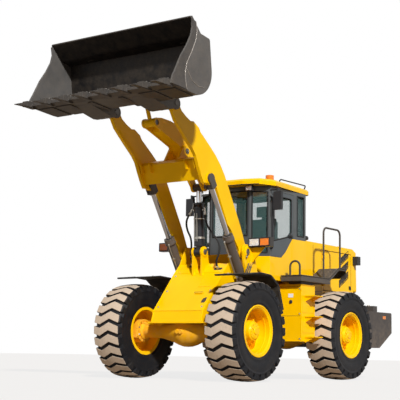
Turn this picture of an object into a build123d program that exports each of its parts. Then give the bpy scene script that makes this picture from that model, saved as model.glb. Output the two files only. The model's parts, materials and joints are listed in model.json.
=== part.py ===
"""A wheel loader with an articulated frame, its bucket raised and level.

Millimetres. +X points forward, +Y to the operator's left and +Z up from the ground. The functions
and tables below count x from the articulation hinge, which stands at hinge_x in the part's frame.
"""

import os
from math import atan2, cos, degrees, hypot, radians, sin

from build123d import *

os.makedirs("parts", exist_ok=True)

# Overall sizes
wheelbase = 2600.0
track = 1920.0
rear_reach = 3275.0  # from the hinge back to the counterweight's end
tooth_reach = 3657.0  # from the hinge forward to the tooth tips, bucket level
hinge_x = (rear_reach - tooth_reach) / 2

# Wheels
tyre_radius = 675.0
tyre_width = 456.0
rim_seat_radius = 317.0
rim_flange_radius = 345.0
rim_width = 400.0
spindle_radius = 60.0

# Running fits
pin_clearance = 0.06
seat_gap = 0.2
slide_gap = 0.5

# Boom and bucket pins, as (x, z) in the side view
boom_pivot = (760.0, 1800.0)
bucket_pin = (2430.0, 3635.0)
bellcrank_pivot = (1580.0, 3170.0)
link_front_pin = (2252.0, 3462.0)
link_bucket_pin = (2432.0, 3893.0)
lift_base = (570.0, 1150.0)
lift_eye = (1596.0, 2745.0)
tilt_base = (1070.0, 1795.0)
tilt_eye = (1110.0, 2725.0)
pin_radius = 38.0

# Boom arms
arm_y = 515.0
arm_thickness = 50.0
arm_tip_radius = 92.0
arm_tail_radius = 100.0
arm_boss_radius = 90.0
arm_inner = arm_y - arm_thickness / 2
arm_outer = arm_y + arm_thickness / 2

# Bucket
bucket_width = 2424.0
bucket_plate = 20.0
ear_thickness = 26.0
tooth_count = 8

# Front frame
frame_half_width = 437.0
frame_plate = 25.0
tower_outer_y = 620.0
tilt_ear_inner = 62.0
tilt_ear_thickness = 28.0

# Articulation hinge
hinge_pin_radius = 42.0
hinge_lug_thickness = 40.0
hinge_levels = (640.0, 1060.0)

# Steering cylinder pins, as (x, y) in the top view
steer_base = (-560.0, 190.0)
steer_eye = (190.0, 250.0)
steer_z = 850.0
steer_pin_radius = 22.0
steer_lug_gap = 30.5

# Cab
cab_half_width = 620.0
cab_front_half = 343.0
cab_front_x = 310.0
cab_corner_x = 170.0
cab_rear_x = -850.0
cab_floor_z = 1450.0
cab_sill_z = 2080.0
cab_head_z = 2830.0
pillar = 60.0
glass_thickness = 6.0
door_front_x = 150.0
door_rear_x = -480.0

# Door hinges: pins and eyes that stand off the panels
door_pin_radius = 8.0
hinge_eye_radius = 16.0
hinge_standoff = 16.5
hinge_eye_height = 60.0
hinge_lug_height = 14.0
cab_hinge = (door_front_x, cab_half_width + hinge_standoff)
cab_hinge_levels = (1960.0, 2640.0)

# Engine hood
hood_half_width = 560.0
hood_front_x = -900.0
hood_rear_x = -2620.0
hood_bottom_z = 1180.0
hood_top_z = 2125.0
hood_skin = 30.0


def side(y):
    """The plane at y whose sketch runs (x from the hinge, z); it extrudes towards -Y."""
    return Plane(origin=(hinge_x, y, 0), x_dir=(1, 0, 0), z_dir=(0, -1, 0))


def front(x):
    """The plane at x whose sketch runs (y, z); it extrudes forward."""
    return Plane(origin=(hinge_x + x, 0, 0), x_dir=(0, 1, 0), z_dir=(1, 0, 0))


def top(z):
    """The plane at z whose sketch runs (x from the hinge, y); it extrudes upward."""
    return Plane(origin=(hinge_x, 0, z), x_dir=(1, 0, 0), z_dir=(0, 0, 1))


def slab(plane, points, depth, mode=Mode.ADD, radius=0):
    """A flat plate with the outline through points, its corners rounded by radius if it has one."""
    with BuildSketch(plane) as outline:
        with BuildLine():
            Polyline(*points, close=True)
        make_face()
        if radius:
            fillet(outline.vertices(), radius)
    extrude(outline.sketch, amount=depth, mode=mode)


def plate(points, y_low, y_high, mode=Mode.ADD, radius=0):
    """An upright plate along the machine, from y_low to y_high."""
    slab(side(y_high), points, y_high - y_low, mode, radius)


def box(x_low, x_high, y_low, y_high, z_low, z_high, mode=Mode.ADD):
    """A square block between the given limits."""
    centre = (hinge_x + (x_low + x_high) / 2, (y_low + y_high) / 2, (z_low + z_high) / 2)
    with Locations(centre):
        Box(x_high - x_low, y_high - y_low, z_high - z_low, mode=mode)


def across(pin, radius, y_low, y_high, mode=Mode.ADD):
    """A round pin or bore that runs across the machine at pin = (x, z)."""
    with BuildSketch(side(y_high)) as disc:
        with Locations(pin):
            Circle(radius)
    extrude(disc.sketch, amount=y_high - y_low, mode=mode)


def along(start, end, radius, y, mode=Mode.ADD):
    """A round bar in the side view from start to end, both (x, z), centred at y."""
    (x0, z0), (x1, z1) = start, end
    base = Plane(origin=(hinge_x + x0, y, z0), x_dir=(0, 1, 0), z_dir=(x1 - x0, 0, z1 - z0))
    with BuildSketch(base) as disc:
        Circle(radius)
    extrude(disc.sketch, amount=hypot(x1 - x0, z1 - z0), mode=mode)


def upright(point, radius, z_low, z_high, sign, mode=Mode.ADD):
    """A vertical pin, eye or bore at point = (x, y)."""
    with BuildSketch(top(z_low)) as disc:
        with Locations((point[0], sign * point[1])):
            Circle(radius)
    extrude(disc.sketch, amount=z_high - z_low, mode=mode)


def on_line(start, end, distance):
    """The point at a distance from start towards end, both (x, z)."""
    (x0, z0), (x1, z1) = start, end
    share = distance / hypot(x1 - x0, z1 - z0)
    return (x0 + (x1 - x0) * share, z0 + (z1 - z0) * share)


def hinge_lugs(point, levels, sign):
    """Pairs of lugs with a pin between them, forward of a door's hinge line at point = (x, y)."""
    x, y = point
    reach = hinge_eye_height / 2 + slide_gap + hinge_lug_height
    near, far = sorted((sign * (y - hinge_standoff), sign * (y + 12)))
    for level in levels:
        upright(point, door_pin_radius, level - reach, level + reach, sign)
        for z_low in (level - reach, level + reach - hinge_lug_height):
            upright(point, 12, z_low, z_low + hinge_lug_height, sign)
            box(x, x + 35, near, far, z_low, z_low + hinge_lug_height)


def hinge_eyes(point, levels, sign):
    """The eyes that turn on those pins, each with a strap back onto the door."""
    x, y = point
    half = hinge_eye_height / 2
    near, far = sorted((sign * (y - hinge_standoff - 2), sign * (y - 8)))
    for level in levels:
        upright(point, hinge_eye_radius, level - half, level + half, sign)
        box(x - 70, x, near, far, level - half, level + half)
        upright(point, door_pin_radius + pin_clearance, level - half, level + half, sign, Mode.SUBTRACT)


def finish(builder, name):
    """Labels a finished piece and writes it."""
    builder.part.label = name
    export_step(builder.part, f"parts/{name}.step")


# Wheels: a deep dished rim with its hub drum, and a broad tubeless tyre
def make_wheel(name, x, sign):
    """The rim and the tyre of one wheel; sign is +1 on the left and -1 on the right."""
    half_rim, half_tyre = rim_width / 2, tyre_width / 2
    axis_plane = Plane(
        origin=(hinge_x + x, sign * track / 2, tyre_radius), x_dir=(1, 0, 0), z_dir=(0, 0, sign)
    )
    # Each profile runs (radius, distance outward from the wheel's middle).
    with BuildPart() as rim:
        with BuildSketch(axis_plane) as barrel:
            with BuildLine():
                Polyline(
                    (rim_flange_radius, half_rim), (rim_flange_radius, half_rim - 16),
                    (rim_seat_radius, half_rim - 20), (rim_seat_radius, 20 - half_rim),
                    (rim_flange_radius, 16 - half_rim), (rim_flange_radius, -half_rim),
                    (rim_seat_radius - 18, -half_rim), (rim_seat_radius - 18, -40), (170, -10),
                    (spindle_radius + pin_clearance, -10), (spindle_radius + pin_clearance, 60),
                    (0, 60), (0, 150), (105, 150), (130, 120), (150, 40), (170, 20),
                    (rim_seat_radius - 18, -8), (rim_seat_radius - 18, half_rim - 12),
                    (rim_seat_radius - 4, half_rim), close=True,
                )
            make_face()
        revolve(barrel.sketch, axis=wheel_axis(x, sign))
    finish(rim, f"rim_{name}")
    with BuildPart() as tyre:
        with BuildSketch(axis_plane) as section:
            with BuildLine():
                bead = rim_seat_radius + seat_gap
                wall = half_rim - 20 - seat_gap
                inner = Polyline((bead, wall), (bead, -wall))
                lower = Line(inner @ 1, (rim_flange_radius + 20, -wall))
                left = ThreePointArc(lower @ 1, (480, -half_tyre), (630, -half_tyre + 22))
                shoulder = ThreePointArc(left @ 1, (660, -half_tyre + 40), (668, -half_tyre + 70))
                tread = ThreePointArc(shoulder @ 1, (tyre_radius, 0), (668, half_tyre - 70))
                shoulder = ThreePointArc(tread @ 1, (660, half_tyre - 40), (630, half_tyre - 22))
                right = ThreePointArc(shoulder @ 1, (480, half_tyre), (rim_flange_radius + 20, wall))
                Line(right @ 1, inner @ 0)
            make_face()
        revolve(section.sketch, axis=wheel_axis(x, sign))
    finish(tyre, f"tyre_{name}")


def wheel_axis(x, sign):
    """The axle line of the wheel at x."""
    return Axis((hinge_x + x, sign * track / 2, tyre_radius), (0, 1, 0))


# name, x of the axle, side
wheels = [
    ("front_left", wheelbase / 2, 1),
    ("front_right", wheelbase / 2, -1),
    ("rear_left", -wheelbase / 2, 1),
    ("rear_right", -wheelbase / 2, -1),
]
for name, x, sign in wheels:
    make_wheel(name, x, sign)


# Axles: a housing with a round differential case, brakes and stub spindles for the wheels
def make_axle(name, x, nose, seat_y, shaft_reach):
    """An axle at x with seats at seat_y, its drive shaft reaching shaft_reach towards nose (+1 or -1)."""
    with BuildPart() as axle:
        reach = track / 2 + 59
        across((x, tyre_radius), 82, -(track / 2 - 150), track / 2 - 150)
        across((x, tyre_radius), spindle_radius, -reach, reach)
        for sign in (1, -1):
            low, high = sorted((sign * (track / 2 - 165), sign * (track / 2 - 60)))
            across((x, tyre_radius), 165, low, high)
        with Locations((hinge_x + x, 0, tyre_radius)):
            Sphere(220)
        end_low, end_high = sorted((x, x + nose * 330))
        with BuildSketch(front(end_low)) as flange:
            with Locations((0, tyre_radius)):
                Circle(75)
        extrude(flange.sketch, amount=end_high - end_low)
        shaft_low, shaft_high = sorted((x + nose * 330, x + nose * shaft_reach))
        if shaft_high > shaft_low:
            with BuildSketch(front(shaft_low)) as shaft:
                with Locations((0, tyre_radius)):
                    Circle(42)
            extrude(shaft.sketch, amount=shaft_high - shaft_low)
        for sign in (1, -1):
            box(x - 90, x + 90, sign * seat_y - 55, sign * seat_y + 55, tyre_radius, axle_seat_z)
    finish(axle, name)


axle_seat_z = 790.0
rail_y, rail_thickness = 330.0, 30.0
make_axle("front_axle", wheelbase / 2, -1, frame_half_width - frame_plate / 2, wheelbase / 2 - 270)
make_axle("rear_axle", -wheelbase / 2, 1, rail_y + rail_thickness / 2, 400)

# Rear frame: two deep rails tied by cross plates, with the fork lugs and pins of the hinge in front
frame_top_z = 1150.0
rail_outline = [
    (-230, 560), (-230, frame_top_z), (-2700, frame_top_z), (-2700, 700),
    (-1520, 700), (-1480, axle_seat_z), (-1120, axle_seat_z), (-1060, 560),
]
with BuildPart() as rear_frame:
    for sign in (1, -1):
        low, high = sorted((sign * rail_y, sign * (rail_y + rail_thickness)))
        plate(rail_outline, low, high)
    box(-260, -230, -rail_y, rail_y, 560, 1150)
    box(-1000, -980, -rail_y, rail_y, 800, 1150)
    box(-1700, -1680, -rail_y, rail_y, 720, 1150)
    box(-2700, -2670, -rail_y, rail_y, 700, 1150)
    for level in hinge_levels:
        for way in (-1, 1):
            middle = level + way * (hinge_lug_thickness + slide_gap)
            with BuildSketch(top(middle - hinge_lug_thickness / 2)) as lug:
                Circle(95)
                with BuildLine():
                    Polyline((-250, -200), (-250, 200), (0, 95), (0, -95), close=True)
                make_face()
            extrude(lug.sketch, amount=hinge_lug_thickness)
        with BuildSketch(top(level - 80)) as hinge_pin:
            Circle(hinge_pin_radius)
        extrude(hinge_pin.sketch, amount=160)
    for sign in (1, -1):
        near, far = sorted((sign * 100, sign * (rail_y - 4)))
        box(-261, -229, near, far, steer_z - 55, steer_z + 55, mode=Mode.SUBTRACT)
    for z_low in (steer_z - steer_lug_gap - 24, steer_z + steer_lug_gap):
        box(steer_base[0] - 60, steer_base[0] + 40, -rail_y, rail_y, z_low, z_low + 24)
    for sign in (1, -1):
        with BuildSketch(top(steer_z - 40)) as steer_pin:
            with Locations((steer_base[0], sign * steer_base[1])):
                Circle(steer_pin_radius)
        extrude(steer_pin.sketch, amount=80)
finish(rear_frame, "rear_frame")

# Drive line under the cab: gearbox and the shaft to the rear axle; the engine stands behind it
with BuildPart() as driveline:
    box(-900, -650, -200, 200, 640, 1120)
    for sign in (1, -1):
        box(-800, -700, sign * 265 - 65, sign * 265 + 65, 1020, 1060)
finish(driveline, "driveline")

with BuildPart() as engine_block:
    box(-2300, -1250, -280, 280, 1150, 1950)
finish(engine_block, "engine_block")

# Counterweight: a broad casting behind the frame, its rear foot cut away, a raised box on top
with BuildPart() as counterweight:
    weight = [
        (-2700.5, 500), (-2700.5, 1090), (-rear_reach + 20, 1090), (-rear_reach, 1070),
        (-rear_reach, 755), (-2820, 500),
    ]
    plate(weight, -880, 880)
    for sign in (1, -1):
        near, far = sorted((sign * 370, sign * 880))
        plate([(-2440, 500), (-2440, 1090), (-2701, 1090), (-2701, 500)], near, far)
    box(-2860, -2720, -820, 820, 1090, 1190)
    with BuildSketch(front(-rear_reach)) as tow_slot:
        with Locations((0, 800)):
            Rectangle(160, 110)
    extrude(tow_slot.sketch, amount=140, mode=Mode.SUBTRACT)
    with BuildSketch(top(700)) as tow_bore:
        with Locations((-rear_reach + 70, 0)):
            Circle(25)
    extrude(tow_bore.sketch, amount=390, mode=Mode.SUBTRACT)
finish(counterweight, "counterweight")

# Tool and fuel boxes between the wheels, one on each side, with three bracketed steps outside each
side_box = (-600.0, -210.0, 400.0, 930.0, 560.0, 1400.0)
step_levels = (620.0, 918.0, 1220.0)
for name, sign in (("left_box", 1), ("right_box", -1)):
    with BuildPart() as tank:
        x_low, x_high, y_in, y_out, z_low, z_high = side_box
        near, far = sorted((sign * y_in, sign * y_out))
        box(x_low, x_high, near, far, z_low, z_high)
        near, far = sorted((sign * (rail_y + rail_thickness), sign * y_in))
        box(x_low + 60, x_high - 60, near, far, 700, 1100)
    finish(tank, name)

with BuildPart() as steps:
    for sign in (1, -1):
        for level in step_levels:
            near, far = sorted((sign * side_box[3], sign * (side_box[3] + 165)))
            box(-545, -300, near, far, level, level + 14)
            for x in (-530, -325):
                wall, tip = side_box[3], side_box[3] + 150
                with BuildSketch(front(x)) as gusset:
                    with BuildLine():
                        Polyline(
                            (sign * wall, level), (sign * tip, level), (sign * wall, level - 75), close=True
                        )
                    make_face()
                extrude(gusset.sketch, amount=10)
finish(steps, "steps")

# Side decks: walkways beside the cab that turn up into the rear mudguards
deck_inner, deck_outer = 640.0, 990.0
deck_line = [
    (-100, 1440), (-100, 1520), (-930, 1520), (-1230, 1700), (-1480, 1700),
    (-1480, 1670), (-1240, 1670), (-960, 1490), (-960, 1440),
]
with BuildPart() as side_decks:
    for sign in (1, -1):
        near, far = sorted((sign * deck_inner, sign * deck_outer))
        plate(deck_line, near, far)
        near, far = sorted((sign * 700, sign * 900))
        box(-580, -230, near, far, side_box[5], 1440)
        near, far = sorted((sign * cab_half_width, sign * deck_inner))
        box(-900, -300, near, far, 1450, 1510)
        box(-1470, -1250, near, far, 1670, 1700)
finish(side_decks, "side_decks")

# Hand rails: bent tubes on the decks
rail_tube = 15.0
with BuildPart() as handrails:
    for sign in (1, -1):
        tall = Plane(origin=(hinge_x, sign * 900, 0), x_dir=(1, 0, 0), z_dir=(0, -1, 0))
        with BuildLine(tall) as tall_path:
            FilletPolyline((-912, 1520), (-912, 2310), (-1430, 2310), (-1430, 1700), radius=90)
        with BuildSketch(Plane(tall_path.line @ 0, z_dir=tall_path.line % 0)) as tube:
            Circle(rail_tube)
        sweep(tube.sketch, path=tall_path.line)
        low = Plane(origin=(hinge_x - 150, 0, 0), x_dir=(0, sign, 0), z_dir=(sign, 0, 0))
        with BuildLine(low) as low_path:
            FilletPolyline((770, 1520), (770, 1735), (935, 1735), (935, 1520), radius=80)
        with BuildSketch(Plane(low_path.line @ 0, z_dir=low_path.line % 0)) as tube:
            Circle(rail_tube)
        sweep(tube.sketch, path=low_path.line)
finish(handrails, "handrails")

# Hood: a shell over the engine, open below, with a doorway in each side and one in the rear
side_door = (-2440.0, -1500.0, 1380.0, 2030.0)
rear_door = (-420.0, 420.0, 1450.0, 1985.0)
hood_hinge = (side_door[1], hood_half_width + hinge_standoff)
hood_hinge_levels = (1500.0, 1930.0)
grille_hinge = (hood_rear_x - hinge_standoff, rear_door[1])
grille_hinge_levels = (1560.0, 1880.0)
door_gap = 6.0
with BuildPart() as hood:
    outer = [
        (hood_front_x, hood_bottom_z), (hood_front_x, hood_top_z), (-2480, hood_top_z - 5),
        (hood_rear_x + 20, hood_top_z - 60), (hood_rear_x, 1400), (hood_rear_x + 120, 1400),
        (hood_rear_x + 180, hood_bottom_z),
    ]
    inner = [
        (hood_front_x + 1, hood_bottom_z - 1), (hood_front_x + 1, hood_top_z - hood_skin),
        (-2470, hood_top_z - 5 - hood_skin), (hood_rear_x + 50, hood_top_z - 90),
        (hood_rear_x + hood_skin, 1425), (hood_rear_x + 110, 1425), (hood_rear_x + 150, hood_bottom_z - 1),
    ]
    plate(outer, -hood_half_width, hood_half_width)
    fillet(hood.edges().filter_by(Axis.X).sort_by(Axis.Z)[-2:], 45)
    plate(inner, hood_skin - hood_half_width, hood_half_width - hood_skin, mode=Mode.SUBTRACT)
    x_low, x_high, z_low, z_high = side_door
    box(x_low, x_high, -hood_half_width - 1, hood_half_width + 1, z_low, z_high, mode=Mode.SUBTRACT)
    y_low, y_high, z_low, z_high = rear_door
    box(hood_rear_x - 1, hood_rear_x + 60, y_low, y_high, z_low, z_high, mode=Mode.SUBTRACT)
    for sign in (1, -1):
        low, high = sorted((sign * rail_y, sign * (hood_half_width - hood_skin)))
        box(-2420, -2300, low, high, frame_top_z, hood_bottom_z + 40)
        box(-1100, -1000, low, high, frame_top_z, hood_bottom_z + 40)
        hinge_lugs(hood_hinge, hood_hinge_levels, sign)
    x, y = grille_hinge
    reach = hinge_eye_height / 2 + slide_gap + hinge_lug_height
    for level in grille_hinge_levels:
        upright(grille_hinge, door_pin_radius, level - reach, level + reach, 1)
        for z_low in (level - reach, level + reach - hinge_lug_height):
            upright(grille_hinge, 12, z_low, z_low + hinge_lug_height, 1)
            box(x - 12, hood_rear_x + 20, y, y + 35, z_low, z_low + hinge_lug_height)
finish(hood, "hood")

# Hood side doors, hinged at their front edges, with three slanted air slots at the rear
for name, sign in (("hood_door_left", 1), ("hood_door_right", -1)):
    x_low, x_high, z_low, z_high = side_door
    with BuildPart() as hood_door:
        near, far = sorted((sign * (hood_half_width - 22), sign * (hood_half_width - 2)))
        box(x_low + door_gap, x_high - door_gap, near, far, z_low + door_gap, z_high - door_gap)
        for slot in range(3):
            x, z = x_low + 110, z_low + 250 + slot * 170
            slant = [(x, z), (x, z + 110), (x + 300, z - 60), (x + 300, z - 170)]
            plate(slant, near - 1, far + 1, mode=Mode.SUBTRACT)
        hinge_eyes(hood_hinge, hood_hinge_levels, sign)
    finish(hood_door, name)

# Rear grille: a framed door of flat bars across the radiator opening
with BuildPart() as rear_grille:
    y_low, y_high, z_low, z_high = rear_door
    slab(
        front(hood_rear_x + 8),
        [(y_low + door_gap, z_low + 12), (y_high - door_gap, z_low + 12),
         (y_high - door_gap, z_high - door_gap), (y_low + door_gap, z_high - door_gap)],
        24,
    )
    bar_count = 9
    pitch = (z_high - z_low - 110) / bar_count
    for bar in range(bar_count):
        z = z_low + 60 + (bar + 0.5) * pitch
        box(hood_rear_x, hood_rear_x + 60, y_low + 50, y_high - 50,
            z - pitch / 3, z + pitch / 5, mode=Mode.SUBTRACT)
    x, y = grille_hinge
    half = hinge_eye_height / 2
    for level in grille_hinge_levels:
        upright(grille_hinge, hinge_eye_radius, level - half, level + half, 1)
        box(x + 8, hood_rear_x + 10, y - 70, y, level - half, level + half)
        upright(grille_hinge, door_pin_radius + pin_clearance, level - half, level + half, 1, Mode.SUBTRACT)
finish(rear_grille, "rear_grille")

with BuildPart() as rear_lamps:
    for sign in (1, -1):
        low, high = sorted((sign * (hood_half_width + 0.3), sign * (hood_half_width + 90)))
        box(-2600, -2490, low, high, 1860, 2000)
finish(rear_lamps, "rear_lamps")

# Cab: a floor tub in body colour, a ring of posts and rails around the windows, and a roof
cab_outline = [
    (cab_rear_x, -cab_half_width), (cab_corner_x, -cab_half_width), (cab_front_x, -cab_front_half),
    (cab_front_x, cab_front_half), (cab_corner_x, cab_half_width), (cab_rear_x, cab_half_width),
]
cab_inset = [
    (cab_rear_x + pillar, pillar - cab_half_width), (cab_corner_x - 30, pillar - cab_half_width),
    (cab_front_x - pillar, -cab_front_half + 30), (cab_front_x - pillar, cab_front_half - 30),
    (cab_corner_x - 30, cab_half_width - pillar), (cab_rear_x + pillar, cab_half_width - pillar),
]
door_sill_z = 1790.0
facet_width, facet_height = 230.0, 900.0
facet_middle_z = 2295.0


def facet_place(sign, depth):
    """The middle of an angled front facet of the cab, moved inward by depth; x runs along it."""
    angle = atan2(cab_half_width - cab_front_half, cab_corner_x - cab_front_x)
    middle_x = hinge_x + (cab_front_x + cab_corner_x) / 2 - depth * sin(angle)
    middle_y = (cab_front_half + cab_half_width) / 2 + depth * cos(angle)
    return Location((middle_x, sign * middle_y, facet_middle_z), (0, 0, sign * degrees(angle)))


side_window = (cab_rear_x + pillar, -595.0)
with BuildPart() as cab_frame:
    slab(top(cab_floor_z), cab_outline, cab_head_z - cab_floor_z)
    slab(top(cab_floor_z + 40), cab_inset, cab_head_z - cab_floor_z - 80, mode=Mode.SUBTRACT)
    # the roof hatchway above the seat stays open to the roof panel
    box(-700, 150, -450, 450, cab_head_z - 41, cab_head_z + 1, mode=Mode.SUBTRACT)
    # windscreen, with its lower corners cut down to the sill beside the front panel
    box(cab_corner_x, cab_front_x + 1, -cab_front_half + 30, cab_front_half - 30,
        cab_sill_z + 20, cab_head_z - 70, mode=Mode.SUBTRACT)
    for sign in (1, -1):
        with Locations(facet_place(sign, 0)):
            Box(facet_width, 200, facet_height, mode=Mode.SUBTRACT)
    # doorways and rear side windows
    doorway = [
        (door_front_x, door_sill_z), (door_front_x, cab_head_z - 60), (door_rear_x, cab_head_z - 60),
        (door_rear_x, cab_sill_z + 40), (-260, 1880), (-140, door_sill_z),
    ]
    plate(doorway, -cab_half_width - 1, cab_half_width + 1, mode=Mode.SUBTRACT)
    box(side_window[0], side_window[1], -cab_half_width - 1, cab_half_width + 1,
        cab_sill_z + 80, cab_head_z - 60, mode=Mode.SUBTRACT)
    box(cab_rear_x - 1, cab_rear_x + pillar + 1, -480, 480,
        cab_sill_z + 80, cab_head_z - 60, mode=Mode.SUBTRACT)
    # rubber mounts down to the frame rails
    for sign in (1, -1):
        low, high = sorted((sign * (rail_y - 20), sign * (rail_y + 60)))
        box(-760, -640, low, high, frame_top_z, cab_floor_z)
        box(-330, -240, low, high, frame_top_z, cab_floor_z)
        hinge_lugs(cab_hinge, cab_hinge_levels, sign)
finish(cab_frame, "cab_frame")

# Roof: a shallow pressed panel that overhangs the windows
roof_outline = [
    (-990, -600), (-990, 600), (130, 690), (400, 590), (470, 330), (470, -330), (400, -590), (130, -690),
]
with BuildPart() as cab_roof:
    slab(top(cab_head_z + slide_gap), roof_outline, 90, radius=40)
    chamfer(cab_roof.faces().sort_by(Axis.Z)[-1].edges(), 30)
finish(cab_roof, "cab_roof")

# Glass: flat panes set in the window openings, windscreen in three facets
pane_depth = 25.0
with BuildPart() as cab_glass:
    box(cab_front_x - pane_depth, cab_front_x - pane_depth + glass_thickness,
        -cab_front_half + 30.5, cab_front_half - 30.5, cab_sill_z + 20.5, cab_head_z - 70.5)
    box(cab_rear_x + pane_depth, cab_rear_x + pane_depth + glass_thickness, -479.5, 479.5,
        cab_sill_z + 80.5, cab_head_z - 60.5)
    for sign in (1, -1):
        inner_face = cab_half_width - pane_depth
        near, far = sorted((sign * inner_face, sign * (inner_face + glass_thickness)))
        box(side_window[0] + 0.5, side_window[1] - 0.5, near, far, cab_sill_z + 80.5, cab_head_z - 60.5)
        with Locations(facet_place(sign, pane_depth)):
            Box(facet_width - 1, glass_thickness, facet_height - 1)
finish(cab_glass, "cab_glass")

# Cab doors: framed leaves with a curved lower edge, each with its pane, hinged at the front post
door_inset = 4.0
door_depth = 30.0
door_outline = [
    (door_front_x - door_inset, door_sill_z + door_inset), (door_front_x - door_inset, cab_head_z - 64),
    (door_rear_x + door_inset, cab_head_z - 64), (door_rear_x + door_inset, cab_sill_z + 42),
    (-262, 1886), (-142, door_sill_z + door_inset),
]
door_window = [
    (door_front_x - 80, 2030), (door_front_x - 80, cab_head_z - 130),
    (door_rear_x + 60, cab_head_z - 130), (door_rear_x + 60, 2190), (-330, 2120),
]
for name, sign in (("left", 1), ("right", -1)):
    near, far = sorted((sign * (cab_half_width - door_depth), sign * cab_half_width))
    with BuildPart() as cab_door:
        plate(door_outline, near, far)
        plate(door_window, near - 1, far + 1, mode=Mode.SUBTRACT, radius=40)
        hinge_eyes(cab_hinge, cab_hinge_levels, sign)
    finish(cab_door, f"cab_door_{name}")
    with BuildPart() as door_glass:
        middle = (near + far) / 2
        plate(door_window, middle - glass_thickness / 2, middle + glass_thickness / 2, radius=40)
    finish(door_glass, f"door_glass_{name}")

# Inside the cab: seat, steering column with wheel, and the side console
seat_x = -420.0
with BuildPart() as seat_base:
    box(seat_x - 200, seat_x + 200, -190, 190, cab_floor_z + 40, cab_floor_z + 330)
    box(seat_x - 230, seat_x + 230, -230, 230, cab_floor_z + 330, cab_floor_z + 370)
    box(seat_x - 290, seat_x - 230, -200, 200, cab_floor_z + 330, cab_floor_z + 960)
    box(seat_x - 290, seat_x - 230, -60, 60, cab_floor_z + 960, cab_floor_z + 1190)
finish(seat_base, "seat_base")
with BuildPart() as seat_cushions:
    box(seat_x - 228, seat_x + 240, -240, 240, cab_floor_z + 370.5, cab_floor_z + 470)
    box(seat_x - 229.5, seat_x - 130, -235, 235, cab_floor_z + 480, cab_floor_z + 1010)
    box(seat_x - 229.5, seat_x - 150, -130, 130, cab_floor_z + 1030, cab_floor_z + 1210)
finish(seat_cushions, "seat_cushions")
with BuildPart() as controls:
    column_foot, column_head = (160, cab_floor_z + 70), (30, cab_floor_z + 640)
    along(column_foot, column_head, 45, 0)
    box(110, cab_front_x - pillar, -280, 280, cab_floor_z + 40, cab_floor_z + 520)
    wheel_plane = Plane(
        origin=(hinge_x + column_head[0], 0, column_head[1]), x_dir=(0, 1, 0),
        z_dir=(column_head[0] - column_foot[0], 0, column_head[1] - column_foot[1]),
    )
    with BuildSketch(wheel_plane) as hand_wheel:
        Circle(200)
        Circle(170, mode=Mode.SUBTRACT)
        Rectangle(360, 40)
        Rectangle(40, 360)
    extrude(hand_wheel.sketch, amount=28)
    box(seat_x - 100, seat_x + 330, -440, -300, cab_floor_z + 40, cab_floor_z + 560)
finish(controls, "controls")

# Mirrors on arms from the cab's front posts, and the lamps and beacon of the roof
mirror_x, mirror_z = 235.0, 2590.0
with BuildPart() as mirrors:
    for sign in (1, -1):
        near, far = sorted((sign * 730, sign * 860))
        box(mirror_x - 25, mirror_x + 25, near, far, mirror_z - 130, mirror_z + 130)
        near, far = sorted((sign * cab_half_width, sign * 790))
        box(mirror_x - 75, mirror_x - 57, near, far, mirror_z + 170, mirror_z + 188)
        near, far = sorted((sign * 772, sign * 790))
        box(mirror_x - 75, mirror_x + 9, near, far, mirror_z + 130, mirror_z + 188)
finish(mirrors, "mirrors")
roof_lamp_y = 385.0
roof_underside = cab_head_z + slide_gap
with BuildPart() as roof_lamps:
    for sign in (1, -1):
        low, high = sorted((sign * roof_lamp_y - 55, sign * roof_lamp_y + 55))
        box(335, 400, low, high, roof_underside - 85, roof_underside - 5)
        box(360, 375, sign * roof_lamp_y - 10, sign * roof_lamp_y + 10, roof_underside - 5, roof_underside)
    with BuildSketch(top(roof_underside + 90)) as beacon:
        with Locations((-120, 420)):
            Circle(62)
    extrude(beacon.sketch, amount=120)
finish(roof_lamps, "roof_lamps")

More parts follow.
